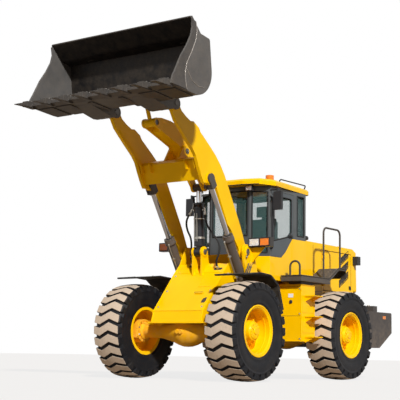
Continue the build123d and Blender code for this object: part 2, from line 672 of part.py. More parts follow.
# Front frame: side plates with a sloping nose plate, the tower that carries the boom, hinge lugs
frame_outline = [
    (1600, 790), (1560, 945), (1095, 1495), (960, 1640), (880, 1800), (840, 1900), (690, 1910),
    (600, 1800), (515, 1450), (460, 1400), (240, 1200), (240, 560), (980, 560), (1100, 790),
]
tower_outline = [
    (470, 1040), (650, 1040), (720, 1330), (850, 1650), (880, 1800), (840, 1900), (690, 1910),
    (600, 1800), (470, 1450),
]
frame_inner = frame_half_width - frame_plate
with BuildPart() as front_frame:
    for sign in (1, -1):
        near, far = sorted((sign * frame_inner, sign * frame_half_width))
        plate(frame_outline, near, far)
        near, far = sorted((sign * (tower_outer_y - frame_plate), sign * tower_outer_y))
        plate(tower_outline, near, far)
        near, far = sorted((sign * frame_half_width, sign * (tower_outer_y - frame_plate)))
        box(470, 495, near, far, 1045, 1440)
        near, far = sorted((sign * frame_inner, sign * tower_outer_y))
        across(boom_pivot, pin_radius + 7, near, far)
        across(lift_base, pin_radius - 3, near, far)
    nose = [(1600, 790), (1560, 945), (1095, 1495), (1070, 1480), (1530, 935), (1570, 790)]
    plate(nose, -frame_inner, frame_inner)
    box(1500, 1602, -frame_half_width - 50, frame_half_width + 50, 772, 790)
    plate([(1095, 1495), (930, 1640), (910, 1620), (1070, 1478)], -frame_inner, frame_inner)
    plate([(600, 1800), (515, 1450), (540, 1450), (625, 1800)], -frame_inner, frame_inner)
    box(240, 270, -frame_inner, frame_inner, 560, 1200)
    # each steering rod's head turns in a window of the rear wall
    for sign in (1, -1):
        near, far = sorted((sign * (steer_eye[1] - 50), sign * (steer_eye[1] + 70)))
        box(239, 271, near, far, steer_z - 38, steer_z + 38, mode=Mode.SUBTRACT)
    box(270, 980, -frame_inner, frame_inner, 560, 585)
    for sign in (1, -1):
        near, far = sorted((sign * tilt_ear_inner, sign * (tilt_ear_inner + tilt_ear_thickness)))
        plate([(930, 1500), (1130, 1430), (1130, 1790), (990, 1790)], near, far)
        across(tilt_base, 80, near, far)
    across(tilt_base, pin_radius, -tilt_ear_inner - tilt_ear_thickness, tilt_ear_inner + tilt_ear_thickness)
    for sign in (1, -1):
        near, far = sorted((sign * (steer_eye[1] - 45), sign * (steer_eye[1] + 45)))
        for z_low in (steer_z - steer_lug_gap - 20, steer_z + steer_lug_gap):
            box(steer_eye[0] - 44, 240, near, far, z_low, z_low + 20)
    for level in hinge_levels:
        with BuildSketch(top(level - hinge_lug_thickness / 2)) as lug:
            Circle(95)
            with BuildLine():
                Polyline((250, -180), (250, 180), (0, 95), (0, -95), close=True)
            make_face()
            Circle(hinge_pin_radius + pin_clearance, mode=Mode.SUBTRACT)
        extrude(lug.sketch, amount=hinge_lug_thickness)
finish(front_frame, "front_frame")

# Front mudguards on stays from the tower, and the head lamps on their brackets
with BuildPart() as front_fenders:
    for sign in (1, -1):
        with BuildSketch(side(sign * 860 + 240)) as arch:
            with BuildLine():
                outer = Polyline((1560, 1430), (1170, 1470), (900, 1455), (700, 1330), (575, 1000))
                Polyline(
                    outer @ 1, (597, 995), (718, 1314), (908, 1434), (1170, 1448), (1560, 1408), outer @ 0
                )
            make_face()
        extrude(arch.sketch, amount=480)
        near, far = sorted((sign * tower_outer_y, sign * 640))
        box(700, 760, near, far, 1310, 1400)
finish(front_fenders, "front_fenders")
lamp_box = (650.0, 750.0, 625.0, 985.0, 1870.0, 2000.0)
with BuildPart() as head_lamps:
    for sign in (1, -1):
        x_low, x_high, y_in, y_out, z_low, z_high = lamp_box
        near, far = sorted((sign * y_in, sign * y_out))
        box(x_low, x_high, near, far, z_low, z_high)
        near, far = sorted((sign * tower_outer_y, sign * (tower_outer_y + 20)))
        plate([(660, 1600), (740, 1600), (740, 1870), (660, 1870)], near, far)
        with BuildSketch(front(670)) as web:
            with BuildLine():
                Polyline((sign * 640, 1650), (sign * 640, z_low), (sign * 860, z_low), close=True)
            make_face()
        extrude(web.sketch, amount=14)
finish(head_lamps, "head_lamps")

# Boom: two long plate arms that bend forward, tied by a box beam that carries the bellcrank
arm_outline = [
    (2380, 3712), (2270, 3566), (2170, 3508), (2064, 3464), (1998, 3472), (1873, 3406), (1834, 3351),
    (1712, 3266), (1589, 3179), (1465, 3083), (1353, 2975), (1242, 2837), (844, 2181), (672, 1848),
    (800, 1708), (875, 1840), (1003, 1991), (1062, 2080), (1149, 2150), (1424, 2622), (1500, 2726),
    (1660, 2672), (1740, 2669), (1803, 2766), (1864, 2879), (1928, 3009), (2003, 3093), (2194, 3244),
    (2396, 3414), (2512, 3590),
]
boss_half = 32.0
for name, sign in (("left", 1), ("right", -1)):
    near, far = sorted((sign * arm_inner, sign * arm_outer))
    boss_near, boss_far = sorted((sign * (arm_y - boss_half), sign * (arm_y + boss_half)))
    with BuildPart() as boom_arm:
        plate(arm_outline, near, far)
        across(bucket_pin, arm_tip_radius, boss_near, boss_far)
        across(boom_pivot, arm_tail_radius, near, far)
        across(lift_eye, arm_boss_radius, boss_near, boss_far)
        across(bucket_pin, pin_radius + pin_clearance, boss_near, boss_far, mode=Mode.SUBTRACT)
        across(boom_pivot, pin_radius + 7 + pin_clearance, near, far, mode=Mode.SUBTRACT)
    finish(boom_arm, f"boom_arm_{name}")

beam_outline = [(1735, 2715), (1830, 2975), (1800, 3010), (1690, 3050), (1655, 2850), (1704, 2738)]
crank_half = 100.0
bracket_thickness = 25.0
with BuildPart() as boom_beam:
    plate(beam_outline, -arm_inner, arm_inner)
    for sign in (1, -1):
        near, far = sorted((sign * (crank_half + 2), sign * (crank_half + 2 + bracket_thickness)))
        plate([(1800, 3000), (1670, 3215), (1530, 3215), (1500, 3150), (1662, 2900)], near, far)
        across(bellcrank_pivot, 85, near, far)
        across(bellcrank_pivot, pin_radius + pin_clearance, near, far, mode=Mode.SUBTRACT)
finish(boom_beam, "boom_beam")

# Bellcrank on its pivot pin: two cranked cheeks with a web between them
with BuildPart() as bellcrank_pin:
    pin_end = crank_half + 2 + bracket_thickness + 8
    across(bellcrank_pivot, pin_radius, -pin_end, pin_end)
finish(bellcrank_pin, "bellcrank_pin")
crank_outline = [
    (2250, 3525), (2145, 3544), (1943, 3537), (1826, 3517), (1334, 3136), (1060, 2765),
    (1160, 2690), (1400, 2965), (1560, 3080), (1729, 3227), (2152, 3369), (2290, 3410),
]
crank_web = [
    (2110, 3450), (1850, 3450), (1430, 3130), (1330, 2990), (1380, 2960), (1560, 3095), (1729, 3240),
    (2100, 3365),
]
cheek = 25.0
with BuildPart() as bellcrank:
    for sign in (1, -1):
        near, far = sorted((sign * (crank_half - cheek), sign * crank_half))
        plate(crank_outline, near, far)
        across(link_front_pin, 64, near, far)
        across(tilt_eye, 62, near, far)
    plate(crank_web, cheek - crank_half, crank_half - cheek)
    across(bellcrank_pivot, pin_radius + pin_clearance, -crank_half, crank_half, mode=Mode.SUBTRACT)
    across(link_front_pin, pin_radius + pin_clearance, -crank_half, crank_half, mode=Mode.SUBTRACT)
finish(bellcrank, "bellcrank")

# Bucket link, on its own pin at the bellcrank and free at the bucket's lugs
with BuildPart() as link_pin:
    across(link_front_pin, pin_radius, -crank_half - 6, crank_half + 6)
finish(link_pin, "link_pin")
link_half = crank_half - cheek - 2
link_bar_radius = 28.0
link_eye_radius = 48.0
link_lug_radius = 60.0
with BuildPart() as bucket_link:
    along(link_front_pin, link_bucket_pin, link_bar_radius, 0)
    across(link_front_pin, 60, -link_half, link_half)
    across(link_bucket_pin, link_eye_radius, -link_half, link_half)
    across(link_front_pin, pin_radius + pin_clearance, -link_half, link_half, mode=Mode.SUBTRACT)
finish(bucket_link, "bucket_link")

# Bucket: a rolled shell with closed sides, a cutting edge with teeth, and hinge ears behind
bucket_half = bucket_width / 2
floor_front = (3250, 3604)
heel = (2482, 3548)
back_top = (2586, 4359)
top_fold = (2785, 4385)
lip = (2974, 4571)
heel_radius = 340.0
side_outline = [
    (3380, 3615), (3356, 3715), (3310, 3788), (3189, 4012), (3078, 4164), (2995, 4312), (2966, 4420),
    (2987, 4532), (2970, 4567), (2804, 4425), (2782, 4385), (2590, 4362),
]
ear_gap = 3.0
ear_outline = [
    (2380, 3580), (2600, 3512), (2700, 3505), (2800, 3560), (2700, 3640), (2560, 3760), (2516, 3990),
    (2400, 3725),
]
with BuildPart() as bucket:
    with BuildSketch(side(bucket_half - bucket_plate)) as shell:
        with BuildLine():
            outer = FilletPolyline(floor_front, heel, back_top, top_fold, lip, radius=[heel_radius, 30, 60])
            offset(amount=bucket_plate, side=Side.RIGHT, closed=True)
        make_face()
    extrude(shell.sketch, amount=bucket_width - 2 * bucket_plate)
    for sign in (1, -1):
        near, far = sorted((sign * (bucket_half - bucket_plate), sign * bucket_half))
        with BuildSketch(side(far)) as end_plate:
            with BuildLine():
                rear = FilletPolyline(floor_front, heel, back_top, top_fold, radius=[heel_radius, 30])
                Polyline(rear @ 1, lip, *reversed(side_outline[:7]), rear @ 0)
            make_face()
        extrude(end_plate.sketch, amount=bucket_plate)
        # hinge ears on both sides of the arm's tip, over a tapered wear box under the floor
        for y in (arm_y - boss_half - ear_gap - ear_thickness, arm_y + boss_half + ear_gap):
            near, far = sorted((sign * y, sign * (y + ear_thickness)))
            plate(ear_outline, near, far)
            across(bucket_pin, 84, near, far)
            across(bucket_pin, pin_radius + pin_clearance, near, far, mode=Mode.SUBTRACT)
        near, far = sorted((sign * (arm_y - 195), sign * (arm_y + 135)))
        plate([(3130, 3594), (2690, 3505), (2610, 3512), (2610, 3600), (2700, 3588)], near, far)
        near, far = sorted((sign * (crank_half - cheek + 8), sign * (crank_half + 8)))
        plate([(2432, 3834), (2560, 3790), (2530, 4060), (2432, 3952)], near, far)
        across(link_bucket_pin, link_lug_radius, near, far)
finish(bucket, "bucket")

tooth_half = 38.0
tooth_outline = [
    (3330, 3590), (3330, 3655), (3470, 3655), (tooth_reach, 3594), (tooth_reach, 3586), (3470, 3590),
]
with BuildPart() as cutting_edge:
    edge_half = bucket_half - bucket_plate
    plate([(3250.3, 3596), (3250.3, 3630), (3400, 3640), (3400, 3606)], -edge_half, edge_half)
    spacing = 2 * (edge_half - tooth_half) / (tooth_count - 1)
    for tooth in range(tooth_count):
        y = tooth_half - edge_half + tooth * spacing
        plate(tooth_outline, y - tooth_half, y + tooth_half)
finish(cutting_edge, "cutting_edge")

with BuildPart() as bucket_pins:
    for sign in (1, -1):
        reach = boss_half + ear_gap + ear_thickness + 8
        across(bucket_pin, pin_radius, sign * arm_y - reach, sign * arm_y + reach)
finish(bucket_pins, "bucket_pins")

# Lift cylinders: a barrel on the tower's lower pin and a rod forked around the arm's boss
lift_length = hypot(lift_eye[0] - lift_base[0], lift_eye[1] - lift_base[1])
lift_barrel_length = 1019.0
lift_rod_radius = 36.0
lift_bore_radius = 50.0
lift_head_start = lift_barrel_length - 70
lift_bore_end = lift_barrel_length - 60
lift_piston_at = 850.0
lift_rod_end = lift_length - 104
fork_gap = 3.0
fork_thickness = 24.0
fork_half_width = 58.0


def lift_bar(start, end, radius, y, mode=Mode.ADD):
    """A round bar of a lift cylinder between two distances from its base pin."""
    along(on_line(lift_base, lift_eye, start), on_line(lift_base, lift_eye, end), radius, y, mode)


for name, sign in (("left", 1), ("right", -1)):
    y = sign * arm_y
    with BuildPart() as lift_barrel:
        across(lift_base, 68, y - 60, y + 60)
        lift_bar(40, lift_barrel_length, 66, y)
        lift_bar(lift_head_start, lift_barrel_length, 74, y)
        lift_bar(90, lift_bore_end, lift_bore_radius, y, Mode.SUBTRACT)
        lift_bar(90, lift_barrel_length + 1, lift_rod_radius + pin_clearance, y, Mode.SUBTRACT)
        across(lift_base, pin_radius - 3 + pin_clearance, y - 60, y + 60, mode=Mode.SUBTRACT)
    finish(lift_barrel, f"lift_barrel_{name}")
    with BuildPart() as lift_rod:
        lift_bar(lift_piston_at, lift_rod_end, lift_rod_radius, y)
        lift_bar(lift_piston_at, lift_piston_at + 50, lift_bore_radius - 0.1, y)
        lift_bar(lift_length - 150, lift_rod_end, boss_half + fork_gap + fork_thickness, y)
        for way in (-1, 1):
            inner, outer = boss_half + fork_gap, boss_half + fork_gap + fork_thickness
            near, far = sorted((y + way * inner, y + way * outer))
            across(lift_eye, 70, near, far)
            fork_root = on_line(lift_base, lift_eye, lift_length - 140)
            dx = (lift_eye[1] - lift_base[1]) / lift_length * fork_half_width
            dz = (lift_base[0] - lift_eye[0]) / lift_length * fork_half_width
            plate([(fork_root[0] - dx, fork_root[1] - dz), (fork_root[0] + dx, fork_root[1] + dz),
                   (lift_eye[0] + dx, lift_eye[1] + dz), (lift_eye[0] - dx, lift_eye[1] - dz)], near, far)
    finish(lift_rod, f"lift_rod_{name}")

# Tilt cylinder: its barrel between the ears on the front frame, its rod eye between the crank's cheeks
tilt_length = hypot(tilt_eye[0] - tilt_base[0], tilt_eye[1] - tilt_base[1])
tilt_barrel_length = 700.0
tilt_rod_radius = 40.0
tilt_bore_radius = 58.0
tilt_bore_end = tilt_barrel_length - 60
tilt_piston_at = 260.0


def tilt_bar(start, end, radius, mode=Mode.ADD):
    """A round bar of the tilt cylinder between two distances from its base pin."""
    along(on_line(tilt_base, tilt_eye, start), on_line(tilt_base, tilt_eye, end), radius, 0, mode)


with BuildPart() as tilt_barrel:
    across(tilt_base, 66, slide_gap - tilt_ear_inner, tilt_ear_inner - slide_gap)
    tilt_bar(30, 95, 52)
    tilt_bar(90, tilt_barrel_length, 78)
    tilt_bar(tilt_bore_end, tilt_barrel_length, 86)
    tilt_bar(120, tilt_bore_end, tilt_bore_radius, Mode.SUBTRACT)
    tilt_bar(120, tilt_barrel_length + 1, tilt_rod_radius + pin_clearance, Mode.SUBTRACT)
    across(tilt_base, pin_radius + pin_clearance, -tilt_ear_inner, tilt_ear_inner, mode=Mode.SUBTRACT)
finish(tilt_barrel, "tilt_barrel")
with BuildPart() as tilt_rod:
    tilt_bar(tilt_piston_at, tilt_length, tilt_rod_radius)
    tilt_bar(tilt_piston_at, tilt_piston_at + 50, tilt_bore_radius - 0.1)
    across(tilt_eye, 58, -link_half, link_half)
finish(tilt_rod, "tilt_rod")

# Tilt hoses: from beside the barrel's head down to the top plate of the nose, one on each side.
# Each route is a list of (x from the hinge, y, z), and its last run meets the plate squarely.
hose_radius = 14.0
hose_bend = 60.0
hose_routes = [
    [(1112, 112, 2370), (1116, 116, 2190), (1100, 365, 1930), (1100, 372, 1780),
     (1102.6, 300, 1635.1), (1030, 300, 1552.5)],
    [(1130, -112, 2370), (1185, -160, 2290), (1130, -195, 2130), (1010, -180, 1990),
     (1031, -190, 1684.8), (965, -190, 1609.7)],
]
with BuildPart() as tilt_hoses:
    for route in hose_routes:
        with BuildLine() as run:
            FilletPolyline(*[(hinge_x + x, y, z) for x, y, z in route], radius=hose_bend)
        with BuildSketch(Plane(origin=run.line @ 0, z_dir=run.line % 0)) as ring:
            Circle(hose_radius)
        sweep(ring.sketch, path=run.line)
finish(tilt_hoses, "tilt_hoses")

# Steering cylinders: low between the frames, barrel pinned to the rear rails
steer_barrel_length = 500.0
steer_rod_radius = 25.0
steer_bore_radius = 36.0
steer_piston_at = 255.0
steer_length = hypot(steer_eye[0] - steer_base[0], steer_eye[1] - steer_base[1])


def steer_bar(start, end, radius, sign, mode=Mode.ADD):
    """A round bar of a steering cylinder between two distances from its base pin."""
    x0, y0 = on_line(steer_base, steer_eye, start)
    x1, y1 = on_line(steer_base, steer_eye, end)
    base = Plane(
        origin=(hinge_x + x0, sign * y0, steer_z), x_dir=(0, 0, 1), z_dir=(x1 - x0, sign * (y1 - y0), 0)
    )
    with BuildSketch(base) as disc:
        Circle(radius)
    extrude(disc.sketch, amount=end - start, mode=mode)


for name, sign in (("left", 1), ("right", -1)):
    with BuildPart() as steer_barrel:
        steer_bar(20, 75, 29, sign)
        steer_bar(70, steer_barrel_length, 46, sign)
        upright(steer_base, 46, steer_z - 30, steer_z + 30, sign)
        steer_bar(100, steer_barrel_length - 50, steer_bore_radius, sign, Mode.SUBTRACT)
        steer_bar(100, steer_barrel_length + 1, steer_rod_radius + pin_clearance, sign, Mode.SUBTRACT)
        bore = steer_pin_radius + pin_clearance
        upright(steer_base, bore, steer_z - 50, steer_z + 50, sign, Mode.SUBTRACT)
    finish(steer_barrel, f"steer_barrel_{name}")
    with BuildPart() as steer_rod:
        steer_bar(steer_piston_at, steer_length, steer_rod_radius, sign)
        steer_bar(steer_piston_at, steer_piston_at + 40, steer_bore_radius - 0.1, sign)
        upright(steer_eye, 44, steer_z - 30, steer_z + 30, sign)
    finish(steer_rod, f"steer_rod_{name}")
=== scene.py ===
# %% [markdown]
# # A wheel loader with its bucket raised
#
# The machine comes from the packed CAD model as a fixed frame: every plate, pin and pane stands where
# it must. This notebook gives it its looks. Each step below says what a piece is on the real machine,
# how it could be made in Blender, and why it was made this way.

# %% Load the frame
import json
from math import cos, pi, radians, sin

import bmesh
import bpy
from mathutils import Matrix, Vector


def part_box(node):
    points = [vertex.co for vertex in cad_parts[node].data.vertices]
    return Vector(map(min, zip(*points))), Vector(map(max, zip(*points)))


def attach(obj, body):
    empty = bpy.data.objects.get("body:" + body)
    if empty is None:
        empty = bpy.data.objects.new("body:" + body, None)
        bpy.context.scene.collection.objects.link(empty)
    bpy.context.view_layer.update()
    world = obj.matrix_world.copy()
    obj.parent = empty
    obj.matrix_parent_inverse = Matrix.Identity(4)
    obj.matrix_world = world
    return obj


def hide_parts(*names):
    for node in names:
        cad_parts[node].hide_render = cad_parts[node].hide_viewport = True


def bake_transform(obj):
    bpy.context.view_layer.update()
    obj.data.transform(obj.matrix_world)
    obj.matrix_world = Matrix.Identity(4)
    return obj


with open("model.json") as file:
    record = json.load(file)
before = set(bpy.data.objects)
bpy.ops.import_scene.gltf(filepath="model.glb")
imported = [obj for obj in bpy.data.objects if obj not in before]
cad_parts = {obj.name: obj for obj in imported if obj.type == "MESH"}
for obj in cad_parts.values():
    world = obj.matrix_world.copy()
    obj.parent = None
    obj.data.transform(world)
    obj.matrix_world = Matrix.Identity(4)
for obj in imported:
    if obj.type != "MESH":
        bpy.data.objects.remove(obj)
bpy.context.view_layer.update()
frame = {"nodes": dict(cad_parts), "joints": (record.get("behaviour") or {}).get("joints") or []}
nodes = frame["nodes"]
joint_at = {j["name"]: Vector(j["pos_m"]) for j in frame["joints"] if "pos_m" in j}
hinge_x = joint_at["steering"].x
# Pins of the linkage that lifts and tilts the bucket, each as (x from the hinge, z).
pin_at = {"boom": (0.760, 1.800), "lift base": (0.570, 1.150), "lift eye": (1.596, 2.745),
          "tilt base": (1.070, 1.795), "tilt eye": (1.110, 2.725), "crank": (1.580, 3.170),
          "link": (2.252, 3.462), "bucket": (2.430, 3.635)}

# %% [markdown]
# ## The camera
#
# The loader is seen from low down in front and a little to its left, with a long lens, so that the
# bucket towers over the cab. A camera is a plain object whose matrix columns are its right, up and
# backward directions, so its place and turn are written as one matrix.

# %% Camera
def placed(name, data):
    """A new object of the scene."""
    made = bpy.data.objects.new(name, data)
    bpy.context.scene.collection.objects.link(made)
    return made


view_yaw, view_pitch, view_roll = radians(216.105), radians(8.052), radians(0.978)
forward = Vector((cos(view_pitch) * cos(view_yaw), cos(view_pitch) * sin(view_yaw), sin(view_pitch)))
right = forward.cross(Vector((0, 0, 1))).normalized()
up = right.cross(forward)
rolled_right = cos(view_roll) * right + sin(view_roll) * up
rolled_up = cos(view_roll) * up - sin(view_roll) * right
camera = placed("camera", bpy.data.cameras.new("camera"))
camera.data.sensor_width = 36.0
camera.data.lens = 96.67
camera.data.clip_end = 200.0
eye = Vector((hinge_x + 13.430, 9.007, 0.386))
columns = Matrix((rolled_right, rolled_up, -forward)).transposed().to_4x4()
camera.matrix_world = Matrix.Translation(eye) @ columns
bpy.context.scene.camera = camera
print("camera", [round(v, 2) for v in eye])

# %% [markdown]
# ## Shader groups
#
# Several finishes share the same small effects: colour that drifts a little over a big panel, dust
# that gathers low down and on ledges, edges worn brighter, and the faint ripple of sprayed paint.
# Each could be painted by hand, but a node group with named inputs gives every material its own
# amount of the same effect, and stays sharp at any distance.

# %% Shader group helpers
def socket(tree, label, kind, into=True, value=None):
    """A named socket on a node group's interface."""
    made = tree.interface.new_socket(label, in_out="INPUT" if into else "OUTPUT",
                                     socket_type="NodeSocket" + kind)
    if value is not None:
        made.default_value = value
    return made


def wire(tree, start, end):
    """Links an output socket, or sets a plain value."""
    if isinstance(start, bpy.types.NodeSocket):
        tree.links.new(start, end)
    else:
        end.default_value = start


def node(tree, kind, inputs=(), **settings):
    """A node with its settings and its inputs, each a value or another node's output."""
    made = tree.nodes.new(kind)
    for name, value in settings.items():
        setattr(made, name, value)
    for key, value in dict(inputs).items():
        wire(tree, value, made.inputs[key])
    return made


def sum_of(tree, a, b, operation="ADD", clamp=False):
    """The result of a two-input Math node."""
    return node(tree, "ShaderNodeMath", {0: a, 1: b}, operation=operation, use_clamp=clamp).outputs[0]


def ramp(tree, value, low, high, to_low=0.0, to_high=1.0):
    """value, stretched so that low becomes to_low and high becomes to_high, and held there."""
    made = node(tree, "ShaderNodeMapRange", {0: value, 1: low, 2: high, 3: to_low, 4: to_high})
    made.clamp = True
    return made.outputs[0]


def noise(tree, vector, scale, detail=3.0, roughness=0.5):
    """Smooth noise over a vector."""
    inputs = {"Vector": vector, "Scale": scale, "Detail": detail, "Roughness": roughness}
    return node(tree, "ShaderNodeTexNoise", inputs).outputs["Fac"]


def blend_colour(tree, factor, a, b, mode="MIX"):
    """Two colours mixed by a factor."""
    made = tree.nodes.new("ShaderNodeMix")
    made.data_type, made.blend_type = "RGBA", mode
    wire(tree, factor, made.inputs[0])
    wire(tree, a, made.inputs[6])
    wire(tree, b, made.inputs[7])
    return made.outputs[2]


def object_place(tree):
    """Where a shaded point lies in the object's own space."""
    return node(tree, "ShaderNodeTexCoord").outputs["Object"]


def group_tree(name, inputs, outputs):
    """An empty shader group with its named sockets; returns the tree, its input node and output node."""
    tree = bpy.data.node_groups.new(name, "ShaderNodeTree")
    for label, kind, value in inputs:
        socket(tree, label, kind, True, value)
    for label, kind in outputs:
        socket(tree, label, kind, False)
    return tree, tree.nodes.new("NodeGroupInput"), tree.nodes.new("NodeGroupOutput")


print("shader helpers: node, sum_of, ramp, noise, blend_colour, group_tree")


# %% Drift: slow changes of shade over a panel
drift, way_in, way_out = group_tree(
    "drift", [("Colour", "Color", (0.5, 0.5, 0.5, 1)), ("Amount", "Float", 0.15), ("Scale", "Float", 3.0)],
    [("Colour", "Color")],
)
place = object_place(drift)
cloud = ramp(drift, noise(drift, place, way_in.outputs["Scale"], 4.0), 0.3, 0.7)
shade = sum_of(drift, 1.0, sum_of(drift, cloud, way_in.outputs["Amount"], "MULTIPLY"), "SUBTRACT")
grey = node(drift, "ShaderNodeCombineColor", {0: shade, 1: shade, 2: shade}).outputs[0]
wire(drift, blend_colour(drift, 1.0, way_in.outputs["Colour"], grey, "MULTIPLY"), way_out.inputs["Colour"])
print("drift:", len(drift.nodes), "nodes")

# %% Dust: a mask that gathers low on the machine, on ledges and in blotches
dust, way_in, way_out = group_tree(
    "dust", [("Amount", "Float", 0.3), ("Top", "Float", 1.2), ("Scale", "Float", 9.0)], [("Mask", "Float")]
)
place = object_place(dust)
height = node(dust, "ShaderNodeSeparateXYZ", {0: place}).outputs[2]
low_down = ramp(dust, height, 0.0, way_in.outputs["Top"], 1.0, 0.0)
facing = node(dust, "ShaderNodeSeparateXYZ",
              {0: node(dust, "ShaderNodeNewGeometry").outputs["Normal"]}).outputs[2]
ledge = ramp(dust, facing, 0.5, 1.0, 0.0, 0.5)
blotch = ramp(dust, noise(dust, place, way_in.outputs["Scale"], 6.0, 0.65), 0.35, 0.75)
both = sum_of(dust, sum_of(dust, low_down, ledge, "MAXIMUM"), blotch, "MULTIPLY")
wire(dust, sum_of(dust, both, way_in.outputs["Amount"], "MULTIPLY", True), way_out.inputs["Mask"])
print("dust:", len(dust.nodes), "nodes")

# %% Edge wear: a mask where the rounded normal leaves the flat one, broken up by noise
wear, way_in, way_out = group_tree("edge wear", [("Width", "Float", 0.004), ("Amount", "Float", 0.5)],
                                   [("Mask", "Float"), ("Normal", "Vector")])
place = object_place(wear)
eased = node(wear, "ShaderNodeBevel", {"Radius": way_in.outputs["Width"]}, samples=4).outputs[0]
flat = node(wear, "ShaderNodeNewGeometry").outputs["Normal"]
likeness = node(wear, "ShaderNodeVectorMath", {0: eased, 1: flat}, operation="DOT_PRODUCT").outputs["Value"]
edge = ramp(wear, likeness, 0.99, 0.8)
chips = ramp(wear, noise(wear, place, 40.0, 5.0, 0.7), 0.45, 0.62)
worn = sum_of(wear, sum_of(wear, edge, chips, "MULTIPLY"), way_in.outputs["Amount"], "MULTIPLY", True)
wire(wear, worn, way_out.inputs["Mask"])
wire(wear, eased, way_out.inputs["Normal"])
print("edge wear:", len(wear.nodes), "nodes")

# %% Ripple: the height of sprayed paint, cast iron or moulded plastic
ripple, way_in, way_out = group_tree(
    "ripple", [("Scale", "Float", 300.0), ("Coarse share", "Float", 0.3)], [("Height", "Float")]
)
place = object_place(ripple)
fine = noise(ripple, place, way_in.outputs["Scale"], 2.0)
coarse = noise(ripple, place, 12.0, 2.0)
kept = sum_of(ripple, coarse, way_in.outputs["Coarse share"], "MULTIPLY")
wire(ripple, sum_of(ripple, fine, kept), way_out.inputs["Height"])
print("shader groups:", [g.name for g in (drift, dust, wear, ripple)])

# %% [markdown]
# ## Finishes
#
# The body is sprayed in a saturated yellow gloss, the cab posts, decks and ballast in dark satin
# paint, the bucket in a grey that is soon scuffed. All are the same build-up of base colour, drift,
# dust, worn edges and ripple, so one function lays it and each finish gives its own values.

# %% Painted and moulded finishes
dust_colour = (0.54, 0.42, 0.29, 1)
dull = 0.2  # share of a usual gloss, since dust takes most of it


def blank_finish(name, inputs=()):
    """A new material with its node tree and its shader, whose inputs are set by name."""
    material = bpy.data.materials.new(name)
    material.use_nodes = True
    shader = material.node_tree.nodes["Principled BSDF"]
    for label, value in dict(inputs).items():
        shader.inputs[label].default_value = value
    return material, material.node_tree, shader


def finish(name, colour, rough=0.45, metal=0.0, coat=0.0, shade=0.12, dusty=0.25, dust_top=1.2,
           edge_colour=None, edge_amount=0.0, edge_width=0.004, bump=0.02, grain=300.0):
    """A layered finish: colour that drifts, dust, worn edges, and a fine ripple in the surface."""
    hue = [0.08 + 0.92 * c / max(colour) for c in colour]
    material, tree, shader = blank_finish(name, {
        "Metallic": metal, "Coat Weight": coat, "Coat Roughness": 0.12, "Specular IOR Level": dull,
        "Specular Tint": (*hue, 1),
    })
    base = node(tree, "ShaderNodeGroup", {"Colour": (*colour, 1), "Amount": shade}, node_tree=drift)
    film = node(tree, "ShaderNodeGroup", {"Amount": dusty, "Top": dust_top}, node_tree=dust)
    dusted = blend_colour(tree, film.outputs["Mask"], base.outputs["Colour"], dust_colour)
    edges = node(tree, "ShaderNodeGroup", {"Width": edge_width, "Amount": edge_amount}, node_tree=wear)
    shown = blend_colour(tree, edges.outputs["Mask"], dusted, (*(edge_colour or colour), 1))
    wire(tree, shown, shader.inputs["Base Color"])
    matt = ramp(tree, film.outputs["Mask"], 0.0, 1.0, rough, min(1.0, rough + 0.4))
    wire(tree, matt, shader.inputs["Roughness"])
    surface = node(tree, "ShaderNodeGroup", {"Scale": grain}, node_tree=ripple)
    relief = node(tree, "ShaderNodeBump",
                  {"Strength": bump, "Distance": 0.002, "Height": surface.outputs["Height"]})
    wire(tree, edges.outputs["Normal"], relief.inputs["Normal"])
    wire(tree, relief.outputs[0], shader.inputs["Normal"])
    return material


yellow = (0.96, 0.545, 0.0)
body_yellow = finish("body yellow", yellow, 0.38, coat=0.15, shade=0.08, dusty=0.03)
axle_yellow = finish("axle yellow", (0.93, 0.44, 0.003), 0.5, shade=0.2, dusty=0.4, dust_top=1.3,
                     bump=0.2, grain=120)
boom_yellow = finish("boom yellow", yellow, 0.4, coat=0.12, shade=0.1, dusty=0.03,
                     edge_colour=(0.85, 0.43, 0.0))
dark_brown = finish("dark brown paint", (0.068, 0.058, 0.051), 0.42, shade=0.2, dusty=0.2)
post_grey = finish("post grey", (0.068, 0.079, 0.086), 0.38, coat=0.2, shade=0.15, dusty=0.1)
ballast = finish("ballast grey", (0.066, 0.060, 0.058), 0.6, shade=0.2, dusty=0.35, bump=0.15, grain=150)
deck_black = finish("deck black", (0.028, 0.026, 0.024), 0.5, shade=0.2, dusty=0.3, dust_top=2.4)
# Real dust and painted sheen: the dust on the deck plate's top stands partly for the glossy sheen on the
# deck's slope.
deck_plate_dust_and_sheen = finish("deck plate dust and sheen", (0.075, 0.066, 0.058), 0.42, shade=0.2, dusty=0.4, dust_top=1.7)
bucket_grey = finish("bucket grey", (0.064, 0.060, 0.057), 0.5, shade=0.25, dusty=0.2, dust_top=6.0,
                     edge_colour=(0.30, 0.28, 0.25), edge_amount=0.35, edge_width=0.006)
cylinder_brown = finish("cylinder brown", (0.100, 0.080, 0.066), 0.35, coat=0.2, shade=0.15, dusty=0.15)
gloss_black = finish("gloss black", (0.017, 0.017, 0.019), 0.28, coat=0.3, shade=0.1, dusty=0.1)
black_plastic = finish("black plastic", (0.029, 0.029, 0.031), 0.5, shade=0.15, dusty=0.1, bump=0.15,
                       grain=600)
rubber = finish("hose rubber", (0.022, 0.022, 0.022), 0.6, shade=0.2, dusty=0.25, bump=0.1, grain=700)
zinc = finish("zinc plate", (0.55, 0.53, 0.48), 0.35, metal=0.9, shade=0.2, dusty=0.1)
worn_steel = finish("worn steel", (0.45, 0.41, 0.37), 0.42, metal=0.75, shade=0.35, dusty=0.3, dust_top=6.0,
                    edge_colour=(0.6, 0.57, 0.53), edge_amount=0.6)
pin_steel = finish("pin steel", (0.13, 0.12, 0.11), 0.5, metal=0.4, shade=0.2, dusty=0.15)
print("finishes:", len(bpy.data.materials))

